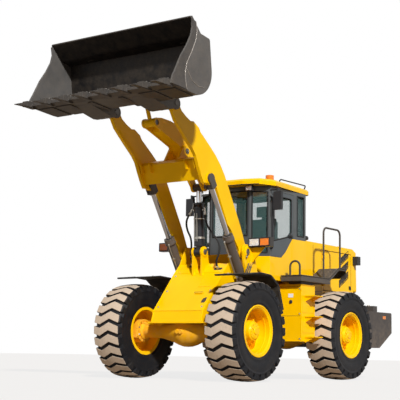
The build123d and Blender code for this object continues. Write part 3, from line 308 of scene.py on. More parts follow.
# %% [markdown]
# ## Rubber, chrome, glass and lenses
#
# The tyres have run on dry ground: the tops of the lugs are tan with dust while the grooves and
# walls stay black. A mask painted by height would slide over the turning wheel, so each lug carries
# an attribute that says how near its top a point lies. Rods are hard chrome, panes are tinted green,
# and lenses are clear or amber shells over bright bowls.

# %% Tyre rubber
tyre_rubber, tree, shader = blank_finish("tyre rubber", {"Specular IOR Level": dull})
place = object_place(tree)
tread_top = node(tree, "ShaderNodeAttribute", attribute_name="tread_top").outputs["Fac"]
scuff = noise(tree, place, 18.0, 6.0, 0.7)
top_mask = sum_of(tree, ramp(tree, tread_top, 0.75, 0.95), ramp(tree, scuff, 0.2, 0.5, 0.82, 1.0),
                  "MULTIPLY")
wall_film = ramp(tree, noise(tree, place, 6.0, 5.0, 0.6), 0.45, 0.85, 0.0, 0.14)
fine_dust = ramp(tree, noise(tree, place, 60.0, 4.0, 0.6), 0.3, 0.8, 0.75, 1.0)
wall_black, wall_dust = (0.0075, 0.008, 0.010, 1), (0.105, 0.090, 0.074, 1)
deep_tan, pale_tan = (0.30, 0.235, 0.175, 1), (0.57, 0.46, 0.35, 1)
walls = blend_colour(tree, wall_film, wall_black, wall_dust)
tan = blend_colour(tree, fine_dust, deep_tan, pale_tan)
wire(tree, blend_colour(tree, top_mask, walls, tan), shader.inputs["Base Color"])
wire(tree, ramp(tree, top_mask, 0.0, 1.0, 0.55, 0.9), shader.inputs["Roughness"])
surface = node(tree, "ShaderNodeGroup", {"Scale": 160}, node_tree=ripple)
relief = node(tree, "ShaderNodeBump",
              {"Strength": 0.35, "Distance": 0.003, "Height": surface.outputs["Height"]})
wire(tree, relief.outputs[0], shader.inputs["Normal"])
print("tyre rubber ready")

# %% Chrome, glass, lenses, cloth
def plain(name, colour, rough, metal=0.0, **sockets):
    """A finish with one smear of roughness over it; extra sockets are set by name."""
    given = {label.replace("_", " "): value for label, value in sockets.items()}
    material, tree, shader = blank_finish(name, {"Base Color": (*colour, 1), "Metallic": metal, **given})
    smear = noise(tree, object_place(tree), 14.0, 4.0)
    wire(tree, ramp(tree, smear, 0.3, 0.8, rough, rough * 1.8 + 0.02), shader.inputs["Roughness"])
    return material


chrome_colour = (0.60, 0.61, 0.63)
chrome = plain("hard chrome", chrome_colour, 0.10, 1.0)
mirror_face = plain("mirror face", (0.85, 0.88, 0.90), 0.02, 1.0)
lamp_bowl = plain("lamp bowl", (0.90, 0.90, 0.90), 0.12, 1.0)
clear_lens = plain("clear lens", (0.93, 0.95, 0.96), 0.03, Alpha=0.16, IOR=1.5)
amber_lens = plain("amber lens", (0.95, 0.26, 0.015), 0.12, Transmission_Weight=0.25, IOR=1.5)
red_lens = plain("red lens", (0.75, 0.02, 0.01), 0.12, Transmission_Weight=0.2, IOR=1.5)
pale_lens = plain("pale lens", (0.80, 0.80, 0.78), 0.2, IOR=1.5)
cab_pane = plain("green glass", (0.080, 0.180, 0.170), 0.01, Alpha=0.20, IOR=1.5)


def rod_finish(name, eye, reach):
    """Hard chrome, with the forged end at eye in dark paint out to reach."""
    material, tree, shader = blank_finish(name)
    flat = node(tree, "ShaderNodeVectorMath", {0: object_place(tree), 1: (1, 0, 1)},
                operation="MULTIPLY").outputs[0]
    centre = (eye[0] + hinge_x, 0, eye[1])
    away = node(tree, "ShaderNodeVectorMath", {0: flat, 1: centre}, operation="DISTANCE").outputs["Value"]
    shaft = ramp(tree, away, reach - 0.001, reach + 0.001)
    bright = blend_colour(tree, shaft, (0.050, 0.041, 0.034, 1), (*chrome_colour, 1))
    wire(tree, bright, shader.inputs["Base Color"])
    wire(tree, shaft, shader.inputs["Metallic"])
    wire(tree, ramp(tree, shaft, 0.0, 1.0, 0.5, 0.12), shader.inputs["Roughness"])
    return material


lift_rod_steel = rod_finish("lift rod", pin_at["lift eye"], reach=0.152)
tilt_rod_steel = rod_finish("tilt rod", pin_at["tilt eye"], reach=0.064)
seat_cloth = finish("seat cloth", (0.050, 0.052, 0.057), 0.85, shade=0.25, dusty=0.15, bump=0.0)
tree = seat_cloth.node_tree
threads = {"Vector": object_place(tree), "Scale": 90.0}
weave = [node(tree, "ShaderNodeTexWave", threads, bands_direction=way).outputs["Fac"] for way in "XZ"]
thread = sum_of(tree, *weave, "MULTIPLY")
relief = node(tree, "ShaderNodeBump", {"Strength": 0.5, "Distance": 0.002, "Height": thread})
wire(tree, relief.outputs[0], tree.nodes["Principled BSDF"].inputs["Normal"])
print("finishes:", len(bpy.data.materials))

# %% [markdown]
# ## The cab's two paints
#
# One welded frame carries two colours: the tub below the windows is body yellow and the posts above
# are dark. The border follows the swept lower edge of the doors. Splitting the frame into two
# objects would leave a seam, so one material picks its paint from the height and the distance along
# the machine.

# %% Two-tone cab paint
def two_tone(name, low, high, border):
    """Yellow below a border line given as (x from the hinge, z) points, dark above it."""
    material = finish(name, yellow, 0.38, coat=0.3, shade=0.08, dusty=0.1)
    tree = material.node_tree
    base = next(n for n in tree.nodes if n.type == "GROUP" and n.node_tree == drift)
    parts = node(tree, "ShaderNodeSeparateXYZ", {0: object_place(tree)})
    curve = tree.nodes.new("ShaderNodeFloatCurve")
    span = border[-1][0] - border[0][0]
    points = curve.mapping.curves[0].points
    for x, z in border[1:-1]:
        points.new((x - border[0][0]) / span, z - 1.0)
    points[0].location = (0.0, border[0][1] - 1.0)
    points[-1].location = (1.0, border[-1][1] - 1.0)
    for point in points:
        point.handle_type = "VECTOR"
    curve.mapping.use_clip = False
    curve.mapping.update()
    along = ramp(tree, parts.outputs[0], hinge_x + border[0][0], hinge_x + border[-1][0])
    wire(tree, along, curve.inputs["Value"])
    line = sum_of(tree, curve.outputs[0], 1.0)
    above = ramp(tree, sum_of(tree, parts.outputs[2], line, "SUBTRACT"), -0.001, 0.001)
    wire(tree, blend_colour(tree, above, (*low, 1), (*high, 1)), base.inputs["Colour"])
    return material


cab_paint = two_tone("cab paint", yellow, (0.068, 0.079, 0.086),
                     [(-0.86, 2.10), (-0.47, 2.10), (-0.31, 2.06), (-0.14, 1.86), (0.02, 1.79),
                      (0.32, 1.79)])
print("cab paint ready")

# %% [markdown]
# ## Which finish goes on which part
#
# The CAD nodes keep their shapes and only get a finish. The table below reads as a paint list, with
# the parts named after their finish. The loop fails at once if it names a part that isn't there, and
# the last line tells which parts are left off it.

# %% Paint list
wheels = ("front_left", "front_right", "rear_left", "rear_right")
paint_list = [
    (body_yellow, "front_frame hood hood_door_left hood_door_right cab_roof left_box right_box steps"),
    (body_yellow, " ".join(f"rim_{wheel}" for wheel in wheels)),
    (boom_yellow, "boom_arm_left boom_arm_right boom_beam bellcrank bucket_link"),
    (axle_yellow, "front_axle rear_axle"),
    (cab_paint, "cab_frame"),
    (post_grey, "cab_door_left cab_door_right"),
    (dark_brown, "handrails"),
    (ballast, "driveline engine_block counterweight"),
    (deck_black, "rear_frame rear_grille front_fenders"),
    (deck_plate_dust_and_sheen, "side_decks"),
    (bucket_grey, "bucket cutting_edge"),
    (cylinder_brown, "lift_barrel_left lift_barrel_right"),
    (gloss_black, "tilt_barrel steer_barrel_left steer_barrel_right"),
    (black_plastic, "seat_base controls mirrors roof_lamps head_lamps rear_lamps"),
    (lift_rod_steel, "lift_rod_left lift_rod_right"),
    (tilt_rod_steel, "tilt_rod"),
    (chrome, "steer_rod_left steer_rod_right"),
    (pin_steel, "bellcrank_pin link_pin bucket_pins"),
    (cab_pane, "cab_glass door_glass_left door_glass_right"),
    (seat_cloth, "seat_cushions"),
    (rubber, "tilt_hoses"),
    (tyre_rubber, " ".join(f"tyre_{wheel}" for wheel in wheels)),
]
painted = set()
for coat, names in paint_list:
    for name in names.split():
        nodes[name].data.materials.clear()
        nodes[name].data.materials.append(coat)
        painted.add(name)
print("painted", len(painted), "parts; not on the list:", sorted(set(nodes) - painted))

# %% [markdown]
# ## Floor and light
#
# A studio shot needs only a pale floor, a white surround and soft light. The sun lamp stands high in
# front of the machine and on its left, wide enough for soft shadow edges; the world fills the rest. The
# surround shows pure white to the camera, through panes and in reflections, but lights the machine
# gently, so that the yellow keeps its depth and the undersides of the boom fall into shade.

# %% Floor, world and lamps
floor_mesh = bpy.data.meshes.new("floor")
far = 60
floor_mesh.from_pydata([(-far, -far, 0), (far, -far, 0), (far, far, 0), (-far, far, 0)], [], [(0, 1, 2, 3)])
placed("floor", floor_mesh)
floor_paint, tree, shader = blank_finish(
    "pale floor", {"Base Color": (0.38, 0.32, 0.26, 1), "Roughness": 0.9}
)
glow = node(tree, "ShaderNodeEmission", {"Color": (1, 1, 1, 1), "Strength": 1.0})
seen = node(tree, "ShaderNodeLightPath").outputs["Is Camera Ray"]
glow_share = 0.80
share = sum_of(tree, seen, glow_share, "MULTIPLY")
mixed = node(tree, "ShaderNodeMixShader", {0: share, 1: shader.outputs[0], 2: glow.outputs[0]})
wire(tree, mixed.outputs[0], tree.nodes["Material Output"].inputs["Surface"])
floor_mesh.materials.append(floor_paint)

world = bpy.context.scene.world or bpy.data.worlds.new("surround")
bpy.context.scene.world = world
world.use_nodes = True
tree = world.node_tree
tree.nodes.clear()
rays = node(tree, "ShaderNodeLightPath")
seen = sum_of(tree, rays.outputs["Is Camera Ray"], rays.outputs["Is Transmission Ray"], "MAXIMUM")
seen = sum_of(tree, seen, rays.outputs["Is Glossy Ray"], "MAXIMUM")
soft = node(tree, "ShaderNodeBackground", {"Color": (1.0, 0.56, 0.30, 1), "Strength": 0.08})
white = node(tree, "ShaderNodeBackground", {"Color": (1, 1, 1, 1), "Strength": 1.0})
mixed = node(tree, "ShaderNodeMixShader", {0: seen, 1: soft.outputs[0], 2: white.outputs[0]})
wire(tree, mixed.outputs[0], node(tree, "ShaderNodeOutputWorld").inputs["Surface"])


def sun(name, towards, strength, spread):
    """A distant lamp that shines from the direction towards, with soft edges spread degrees wide."""
    lamp = placed(name, bpy.data.lights.new(name, "SUN"))
    lamp.data.energy = strength
    lamp.data.angle = radians(spread)
    lamp.rotation_euler = Vector(towards).to_track_quat("Z", "Y").to_euler()


bpy.context.scene.view_settings.view_transform = "Standard"
sun("key", (1.0, 1.15, 1.0), strength=4.7, spread=3)
sun("fill", (1.0, -0.4, 0.3), strength=0.10, spread=40)
print("floor and light set")

# %% [markdown]
# ## Tools for making pieces
#
# New pieces are made from a few kinds of form: flat plates, boxes, turned rings and bent tubes. A
# small class gathers such forms in one mesh, so that a bracket with its bolts and gussets becomes a
# single piece that rides on one body. Everything is in metres, with x counted from the frame hinge.

# %% The Shape class
both_sides = (("left", 1), ("right", -1))


def span(sign, near, far):
    """Two distances from the middle as y values on one side, the lower first."""
    return sorted((sign * near, sign * far))


def at_pin(name, y):
    """A pin of the linkage, at a distance y across the machine."""
    x, z = pin_at[name]
    return Vector((x, y, z))


def finished(mesh, name):
    """A plain mesh from a bmesh, its faces turned outward."""
    bmesh.ops.recalc_face_normals(mesh, faces=mesh.faces)
    data = bpy.data.meshes.new(name)
    mesh.to_mesh(data)
    mesh.free()
    return data


class Shape:
    """Forms gathered into one mesh; x is counted from the articulation hinge."""

    def __init__(self):
        self.mesh = bmesh.new()

    def point(self, place):
        return self.mesh.verts.new((place[0] + hinge_x, place[1], place[2]))

    def loft(self, rings, closed=True, caps=True):
        """Skin between rings of points, each a list of (x, y, z)."""
        rows = [[self.point(p) for p in ring] for ring in rings]
        count = len(rows[0])
        for a, b in zip(rows, rows[1:]):
            for i in range(count if closed else count - 1):
                j = (i + 1) % count
                self.mesh.faces.new((a[i], a[j], b[j], b[i]))
        if caps and closed:
            self.mesh.faces.new(rows[0][::-1])
            self.mesh.faces.new(rows[-1])
        return self

    def box(self, low, high, edge=0.0):
        """A block between two corners, its edges softened by edge."""
        (x0, y0, z0), (x1, y1, z1) = low, high
        before = set(self.mesh.verts)
        self.loft([[(x0, y0, z), (x1, y0, z), (x1, y1, z), (x0, y1, z)] for z in (z0, z1)])
        return self.soften(before, edge)

    def plate(self, outline, y_low, y_high, edge=0.0):
        """A plate along the machine with an (x, z) outline."""
        before = set(self.mesh.verts)
        self.loft([[(x, y, z) for x, z in outline] for y in (y_low, y_high)])
        return self.soften(before, edge)

    def slab(self, outline, origin, across, upward, depth, edge=0.0):
        """A plate in any plane: outline runs (across, upward) from origin, depth along their normal."""
        u, v = Vector(across).normalized(), Vector(upward).normalized()
        n = u.cross(v)
        before = set(self.mesh.verts)
        self.loft([[Vector(origin) + u * a + v * b + n * d for a, b in outline] for d in (0.0, depth)])
        return self.soften(before, edge)

    def soften(self, before, width, segments=2):
        """Bevels the sharp edges made since before."""
        if width:
            fresh = [v for v in self.mesh.verts if v not in before]
            edges = {e for v in fresh for e in v.link_edges}
            sharp = [e for e in edges if len(e.link_faces) == 2 and e.calc_face_angle(0) > 0.4]
            bmesh.ops.bevel(self.mesh, geom=sharp, offset=width, segments=segments, affect="EDGES",
                            profile=0.5)
        return self

    def turned(self, profile, centre, axis=(0, 1, 0), steps=32, closed=False):
        """A turned form; profile runs (radius, distance along axis) from centre."""
        n = Vector(axis).normalized()
        u = n.orthogonal().normalized()
        v = n.cross(u)
        rows = []
        for radius, along in profile:
            middle = Vector(centre) + n * along
            if radius < 1e-6:
                rows.append([self.point(middle)])
                continue
            turns = [2 * pi * k / steps for k in range(steps)]
            rows.append([self.point(middle + (u * cos(t) + v * sin(t)) * radius) for t in turns])
        pairs = list(zip(rows, rows[1:])) + ([(rows[-1], rows[0])] if closed else [])
        for a, b in pairs:
            for i in range(steps):
                j = (i + 1) % steps
                ring = [a[i % len(a)], a[j % len(a)], b[j % len(b)], b[i % len(b)]]
                corners = list(dict.fromkeys(ring))
                if len(corners) > 2:
                    self.mesh.faces.new(corners)
        return self

    def tube(self, points, radius, bend=0.05, sides=12, steps=6):
        """A round tube through points, its corners bent to a radius, or left as they come if bend is 0."""
        path = [Vector(p) for p in points]
        path = rounded(path, bend, steps) if bend else path
        frame_up = (path[1] - path[0]).orthogonal().normalized()
        rings = []
        for i, p in enumerate(path):
            ahead = path[min(i + 1, len(path) - 1)] - path[max(i - 1, 0)]
            ahead.normalize()
            frame_up = (frame_up - ahead * frame_up.dot(ahead)).normalized()
            side = ahead.cross(frame_up)
            turns = [2 * pi * k / sides for k in range(sides)]
            rings.append([p + (frame_up * cos(t) + side * sin(t)) * radius for t in turns])
        return self.loft(rings)

    def bar(self, start, end, radius, sides=6):
        """A straight round bar."""
        return self.tube([start, end], radius, bend=0, sides=sides)

    def staple(self, start, end, rise, radius, bend, sides=10):
        """A bar between two feet that stands off them by rise, as a handle or a rail does."""
        start, end, rise = Vector(start), Vector(end), Vector(rise)
        return self.tube([start, start + rise, end + rise, end], radius, bend, sides)

    def outline(self, corners, radius, sides=6):
        """Straight bars round a closed outline."""
        for start, end in zip(corners, corners[1:] + corners[:1]):
            self.bar(start, end, radius, sides)

    def piece(self, name, body, material, smooth=35.0, slot=None):
        """Turns the forms into a piece on a body."""
        return piece_from(finished(self.mesh, name), name, body, material, smooth)


def rounded(points, bend, steps=6):
    """The points of a path whose corners are arcs of radius bend, or smaller where runs are short."""
    path = [points[0]]
    for a, b, c in zip(points, points[1:], points[2:]):
        before, after = (a - b), (c - b)
        turn = before.angle(after)
        reach = min(bend / max(1e-3, abs(sin(turn / 2) / cos(turn / 2)) if turn < pi - 1e-3 else 1e3),
                    before.length / 2, after.length / 2)
        start, end = b + before.normalized() * reach, b + after.normalized() * reach
        for k in range(steps + 1):
            t = k / steps
            path.append(start * (1 - t) ** 2 + b * 2 * t * (1 - t) + end * t ** 2)
    path.append(points[-1])
    return [p for i, p in enumerate(path) if i == 0 or (p - path[i - 1]).length > 1e-5]


def piece_from(data, name, body, material, smooth=35.0):
    """A mesh as a piece: placed, smoothed by angle, painted and riding on its body."""
    data.materials.clear()
    data.materials.append(material)
    if smooth:
        data.shade_smooth()
        data.set_sharp_from_angle(angle=radians(smooth))
    made = placed(name, data)
    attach(made, body)
    return made


print("forms:", [form for form in vars(Shape) if not form.startswith("_")])


# %% [markdown]
# ## Geometry Nodes for what repeats
#
# Tyre lugs, wheel nuts, bolt heads, tooth adapters, louvres and radiator fins are each one small form
# many times. Copying them by hand is slow and hard to change, so three node trees do it: copies turned
# round an axle, copies stepped along a row, and bolts set on points. Each ends in real geometry with
# its finish.

# %% Node tree helpers
def geometry_tree(name, inputs):
    """A Geometry Nodes tree with a Geometry input, named inputs, and a Geometry output."""
    tree = bpy.data.node_groups.new(name, "GeometryNodeTree")
    socket(tree, "Geometry", "Geometry")
    for label, kind, value in inputs:
        socket(tree, label, kind, True, value)
    socket(tree, "Geometry", "Geometry", False)
    return tree, tree.nodes.new("NodeGroupInput").outputs, tree.nodes.new("NodeGroupOutput").inputs


def close_tree(tree, instances, material, way_out):
    """Realize Instances and Set Material, which every tree here ends in."""
    real = node(tree, "GeometryNodeRealizeInstances", {0: instances})
    painted = node(tree, "GeometryNodeSetMaterial", {"Geometry": real.outputs[0], "Material": material})
    wire(tree, painted.outputs[0], way_out["Geometry"])


round_axle, given, way_out = geometry_tree(
    "copies round an axle", [("Count", "Int", 12), ("Material", "Material", None)]
)
line = node(round_axle, "GeometryNodeMeshLine", {"Count": given["Count"]})
line.inputs["Offset"].default_value = (0, 0, 0)
step = sum_of(round_axle, 2 * pi, given["Count"], "DIVIDE")
turn = sum_of(round_axle, node(round_axle, "GeometryNodeInputIndex").outputs[0], step, "MULTIPLY")
spin = node(round_axle, "ShaderNodeCombineXYZ", {1: turn})
copies = node(round_axle, "GeometryNodeInstanceOnPoints",
              {"Points": line.outputs[0], "Instance": given["Geometry"], "Rotation": spin.outputs[0]})
close_tree(round_axle, copies.outputs[0], given["Material"], way_out)

in_a_row, given, way_out = geometry_tree(
    "copies in a row", [("Count", "Int", 4), ("Step", "Vector", (0, 0, 0.1)), ("Material", "Material", None)]
)
line = node(in_a_row, "GeometryNodeMeshLine", {"Count": given["Count"], "Offset": given["Step"]})
copies = node(in_a_row, "GeometryNodeInstanceOnPoints",
              {"Points": line.outputs[0], "Instance": given["Geometry"]})
close_tree(in_a_row, copies.outputs[0], given["Material"], way_out)

bolts_on_points, given, way_out = geometry_tree("bolts on points",
                                                [("Radius", "Float", 0.012), ("Height", "Float", 0.010),
                                                 ("Axis", "Vector", (0, 0, 1)),
                                                 ("Material", "Material", None)])
head = node(bolts_on_points, "GeometryNodeMeshCylinder",
            {"Vertices": 6, "Radius": given["Radius"], "Depth": given["Height"]})
wide = sum_of(bolts_on_points, given["Radius"], 1.4, "MULTIPLY")
thin = sum_of(bolts_on_points, given["Height"], 0.4, "MULTIPLY")
washer = node(bolts_on_points, "GeometryNodeMeshCylinder", {"Vertices": 16, "Radius": wide, "Depth": thin})
lift = node(bolts_on_points, "ShaderNodeCombineXYZ",
            {2: sum_of(bolts_on_points, given["Height"], 0.5, "MULTIPLY")})
raised = node(bolts_on_points, "GeometryNodeTransform",
              {"Geometry": head.outputs[0], "Translation": lift.outputs[0]})
both = node(bolts_on_points, "GeometryNodeJoinGeometry")
bolts_on_points.links.new(raised.outputs[0], both.inputs[0])
bolts_on_points.links.new(washer.outputs[0], both.inputs[0])
facing = node(bolts_on_points, "FunctionNodeAlignRotationToVector", {"Vector": given["Axis"]}, axis="Z")
copies = node(bolts_on_points, "GeometryNodeInstanceOnPoints",
              {"Points": given["Geometry"], "Instance": both.outputs[0], "Rotation": facing.outputs[0]})
close_tree(bolts_on_points, copies.outputs[0], given["Material"], way_out)


def grown(data, tree, material, **values):
    """The plain mesh that a tree makes from data with these input values."""
    holder = placed("seed", data)
    modifier = holder.modifiers.new("grow", "NODES")
    modifier.node_group = tree
    names = {s.name: s.identifier for s in tree.interface.items_tree if s.in_out == "INPUT"}
    modifier[names["Material"]] = material
    for label, value in values.items():
        modifier[names[label]] = value
    made = bpy.data.meshes.new_from_object(holder.evaluated_get(bpy.context.evaluated_depsgraph_get()))
    bpy.data.objects.remove(holder)
    return made


def bolts(name, body, places, axis, radius=0.012, height=0.010, material=None):
    """Bolt heads at places, standing along axis."""
    data = bpy.data.meshes.new(name + " points")
    data.from_pydata([(x + hinge_x, y, z) for x, y, z in places], [], [])
    finish_used = material or zinc
    made = grown(data, bolts_on_points, finish_used, Radius=radius, Height=height, Axis=axis)
    return piece_from(made, name, body, finish_used, smooth=30)


print("trees:", [t.name for t in (round_axle, in_a_row, bolts_on_points)])

# %% [markdown]
# ## Tyres
#
# An earthmover tyre is a smooth carcass with thick lugs across the tread. Each lug is a zigzag band
# that dips on one side, rises on the other and turns down over both shoulders. The carcass is a
# turned profile. One lug is skinned from a row of cross-sections and Geometry Nodes set its copies
# round the axle, so the count or the zigzag can be changed in one place.

# %% Carcass and lugs
tyre_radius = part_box("tyre_front_left")[1].z / 2
lug_count = 26
carcass_half = [
    (0.330, 0.196), (0.347, 0.202), (0.362, 0.203), (0.372, 0.212), (0.381, 0.215), (0.392, 0.212),
    (0.430, 0.220), (0.480, 0.226), (0.530, 0.2275), (0.556, 0.226), (0.562, 0.230), (0.572, 0.230),
    (0.578, 0.223), (0.600, 0.213), (0.624, 0.196), (0.638, 0.168), (0.644, 0.100), (0.646, 0.040),
]
zigzag = [(-0.214, -0.006), (-0.105, -0.034), (0.055, 0.046), (0.214, -0.008)]
lug_half_width = 0.0565


def zigzag_at(y):
    """How far round the tyre the lug's middle stands at a distance y across it."""
    for (y0, c0), (y1, c1) in zip(zigzag, zigzag[1:]):
        if y <= y1:
            t = max(0.0, (y - y0) / (y1 - y0))
            return c0 + (c1 - c0) * t
    return zigzag[-1][1]


def lug_mesh():
    """One lug about the axle at the origin, with tread_top marking its worn top."""
    crown = [-0.214, -0.160, -0.112, -0.105, -0.098, -0.045, 0.0, 0.047, 0.055, 0.063, 0.110, 0.160, 0.214]
    stations = [(-0.2325, 0.572, -0.205, 0.572, 0.80), (-0.2300, 0.640, -0.200, 0.620, 0.94)]
    for y in crown:
        top = tyre_radius - 0.001 - 0.40 * y * y
        stations.append((y, top, y * 0.90, 0.640 - 0.25 * y * y, 1.0))
    stations += [(0.2300, 0.640, 0.200, 0.620, 0.94), (0.2325, 0.572, 0.205, 0.572, 0.80)]
    mesh = bmesh.new()
    mark = mesh.verts.layers.float.new("tread_top")
    rows = []
    for index, (y_top, r_top, y_base, r_base, share) in enumerate(stations):
        on_top = 1 < index < len(stations) - 2
        middle, half = zigzag_at(y_top), lug_half_width * share
        row = []
        for side, inset, depth, level in ((-1, -0.006, 1.0, 0.0), (-1, 0.0, 0.10, 0.85),
                                          (-1, 0.005, 0.0, 1.0), (1, 0.005, 0.0, 1.0),
                                          (1, 0.0, 0.10, 0.85), (1, -0.006, 1.0, 0.0)):
            radius = r_top + (r_base - r_top) * depth
            y = y_top + (y_base - y_top) * depth
            angle = (middle + side * (half - inset)) / tyre_radius
            vertex = mesh.verts.new((radius * cos(angle), y, radius * sin(angle)))
            vertex[mark] = level if on_top else 0.0
            row.append(vertex)
        rows.append(row)
    for a, b in zip(rows, rows[1:]):
        for i in range(6):
            j = (i + 1) % 6
            mesh.faces.new((a[i], a[j], b[j], b[i]))
    mesh.faces.new(rows[0][::-1])
    mesh.faces.new(rows[-1])
    return finished(mesh, "lug")


lug_seed = lug_mesh()
for wheel in wheels:
    centre = sum(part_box(f"tyre_{wheel}"), Vector()) / 2
    carcass = Shape()
    profile = carcass_half + [(r, -y) for r, y in reversed(carcass_half)]
    carcass.turned(profile, (-hinge_x, 0, 0), steps=104, closed=True)
    body_mesh = finished(carcass.mesh, "carcass")
    body_mesh.shade_smooth()
    lugs = grown(lug_seed.copy(), round_axle, tyre_rubber, Count=lug_count)
    lugs.shade_flat()
    joined = bmesh.new()
    joined.from_mesh(body_mesh)
    joined.from_mesh(lugs)
    bmesh.ops.translate(joined, verts=joined.verts, vec=centre)
    whole = bpy.data.meshes.new(f"tyre {wheel}")
    joined.to_mesh(whole)
    joined.free()
    tyre = piece_from(whole, f"lugged_tyre_{wheel}", f"wheel_{wheel}", tyre_rubber, smooth=None)
    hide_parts(f"tyre_{wheel}")
print("lug pitch", round(2 * pi * tyre_radius / lug_count, 3), "m,", len(whole.polygons), "faces in a tyre")

# %% [markdown]
# ## Rims, hubs and brakes
#
# An earthmover rim is a rolled barrel closed by a loose lock ring, bolted to the hub by a ring of
# nuts. The hub's planet carrier stands out of the dish with its own bolts and an oil plug. Rings are
# turned from short profiles, and the nuts are one hexagon that the node tree copies round the axle.
# Behind each wheel the brake caliper and the bolted spindle flange belong to the axle, so they ride
# on the frame and don't turn.

# %% Wheel trim
axle_height = tyre_radius
tyre_low, tyre_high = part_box("tyre_front_left")
half_wheelbase = (tyre_low.x + tyre_high.x) / 2 - hinge_x
half_track = (tyre_low.y + tyre_high.y) / 2
lock_ring = [(0.322, 0.190), (0.343, 0.190), (0.350, 0.198), (0.350, 0.207), (0.341, 0.212), (0.327, 0.209)]
barrel_bead = [(0.3005, 0.100), (0.294, 0.104), (0.294, 0.124), (0.3005, 0.128)]
carrier = [(0.0, 0.172), (0.040, 0.172), (0.047, 0.166), (0.050, 0.158), (0.078, 0.157), (0.084, 0.151),
           (0.106, 0.149)]
carrier_rim = [(0.106, 0.140), (0.126, 0.132), (0.132, 0.122), (0.131, 0.112)]


def hexagon(place, axis, radius, height):
    """One nut or bolt head as a mesh, to be copied by a tree."""
    shape = Shape()
    top = radius * 0.82
    shape.turned([(0, 0), (radius, 0), (radius, height * 0.8), (top, height), (0, height)], place, axis,
                 steps=6)
    bmesh.ops.translate(shape.mesh, verts=shape.mesh.verts, vec=(-hinge_x, 0, 0))
    return finished(shape.mesh, "hexagon")


def ring_of_nuts(name, body, centre, radius, count, axis, size, height, material):
    """Nuts in a ring about an axle across the machine, their feet at centre."""
    made = grown(hexagon((radius, 0, 0), axis, size, height), round_axle, material, Count=count)
    made.transform(Matrix.Translation((centre[0] + hinge_x, centre[1], centre[2])))
    return piece_from(made, name, body, material, smooth=25)


for wheel in wheels:
    x = half_wheelbase if wheel.startswith("front") else -half_wheelbase
    sign = 1 if wheel.endswith("left") else -1
    body, out = f"wheel_{wheel}", (0, sign, 0)
    centre = (x, sign * half_track, axle_height)
    trim = Shape()
    trim.turned(lock_ring, centre, out, steps=72, closed=True)
    trim.turned(barrel_bead, centre, out, steps=72)
    trim.turned(carrier + carrier_rim, centre, out, steps=48)
    for turn in range(3):
        angle = 2 * pi * turn / 3 + 0.4
        rib = Vector((cos(angle), 0, sin(angle)))
        start = Vector(centre) + Vector(out) * 0.156 + rib * 0.046
        trim.bar(start, start + rib * 0.050, 0.009, 8)
    trim.piece(f"rim_trim_{wheel}", body, body_yellow)
    ring_of_nuts(f"wheel_nuts_{wheel}", body, (x, centre[1] + sign * 0.009, axle_height), radius=0.208,
                 count=16, axis=out, size=0.017, height=0.022, material=body_yellow)
    ring_of_nuts(f"carrier_bolts_{wheel}", body, (x, centre[1] + sign * 0.1495, axle_height),
                 radius=0.095, count=12, axis=out, size=0.0085, height=0.008, material=body_yellow)
    stem = Shape()
    foot = Vector(centre) + Vector((0.272, 0, 0.080))
    stem.tube([foot, foot + Vector((0, sign * 0.055, 0)), foot + Vector((0.006, sign * 0.085, 0.002))],
              0.0045, 0.02, 8)
    stem.piece(f"valve_{wheel}", body, rubber)
print("wheels trimmed:", len(wheels))

# %% Axle castings and brakes
casting = [(0.222, 0.00), (0.219, 0.06), (0.200, 0.13), (0.168, 0.21), (0.135, 0.32), (0.108, 0.44),
           (0.098, 0.56), (0.096, 0.74), (0.125, 0.765), (0.125, 0.790)]
axles = {"front": (half_wheelbase, "front_chassis", 1), "rear": (-half_wheelbase, "rear_chassis", -1)}
for name, (x, body, face) in axles.items():
    shape = Shape()
    for sign in (1, -1):
        shape.turned(casting, (x, 0, axle_height), (0, sign, 0), steps=48)
        shape.turned([(0.0, 0.240), (0.030, 0.240), (0.034, 0.234), (0.034, 0.205)],
                     (x, sign * 0.03, axle_height - 0.015), (face, 0, 0), 20)
    shape.turned([(0.168, 0.120), (0.168, 0.150), (0.160, 0.156), (0.120, 0.192), (0.05, 0.214),
                  (0.0, 0.218)], (x, 0, axle_height), (face, 0, 0), steps=40)
    shape.piece(f"axle_casting_{name}", body, axle_yellow)
    plug = Shape()
    plug.turned([(0.0, 0.230), (0.015, 0.230), (0.015, 0.214)], (x, 0.0, axle_height - 0.02),
                (face, 0, 0), steps=6)
    plug.piece(f"oil_plug_{name}", body, zinc)
    for label, sign in both_sides:
        inner = sign * (half_track - 0.165)
        brake = Shape()
        brake.turned([(0.100, -0.012), (0.162, -0.012), (0.165, -0.004), (0.165, 0.004)],
                     (x, inner, axle_height), (0, sign, 0), 40)
        low, high = sorted((inner - sign * 0.010, inner + sign * 0.090))
        jaw, bridge, inlet = (x + face * reach for reach in (0.115, 0.150, 0.120))
        for tip in (-0.082, 0.026):
            foot = axle_height + tip
            brake.box((jaw - 0.055, low, foot), (jaw + 0.055, high, foot + 0.056), 0.012)
        brake.box((bridge - 0.030, low + 0.01, axle_height - 0.10),
                  (bridge + 0.030, high - 0.01, axle_height + 0.10), 0.014)
        brake_pipe = [(inlet, inner - sign * 0.012, axle_height + 0.082),
                      (inlet, inner - sign * 0.050, axle_height + 0.150),
                      (x, sign * 0.55, axle_height + 0.115), (x, sign * 0.25, axle_height + 0.165)]
        brake.tube(brake_pipe, 0.006, 0.05, 8)
        brake.piece(f"brake_{name}_{label}", body, axle_yellow)
        bores = [(inlet, inner - sign * 0.010, axle_height + z) for z in (-0.055, 0.052)]
        bolts(f"caliper_bolts_{name}_{label}", body, bores, (0, -sign, 0), radius=0.014, height=0.014)
        ring_of_nuts(f"flange_bolts_{name}_{label}", body, (x, inner - sign * 0.012, axle_height),
                     radius=0.143, count=14, axis=(0, -sign, 0), size=0.010, height=0.010,
                     material=axle_yellow)
print("axles dressed:", list(axles))

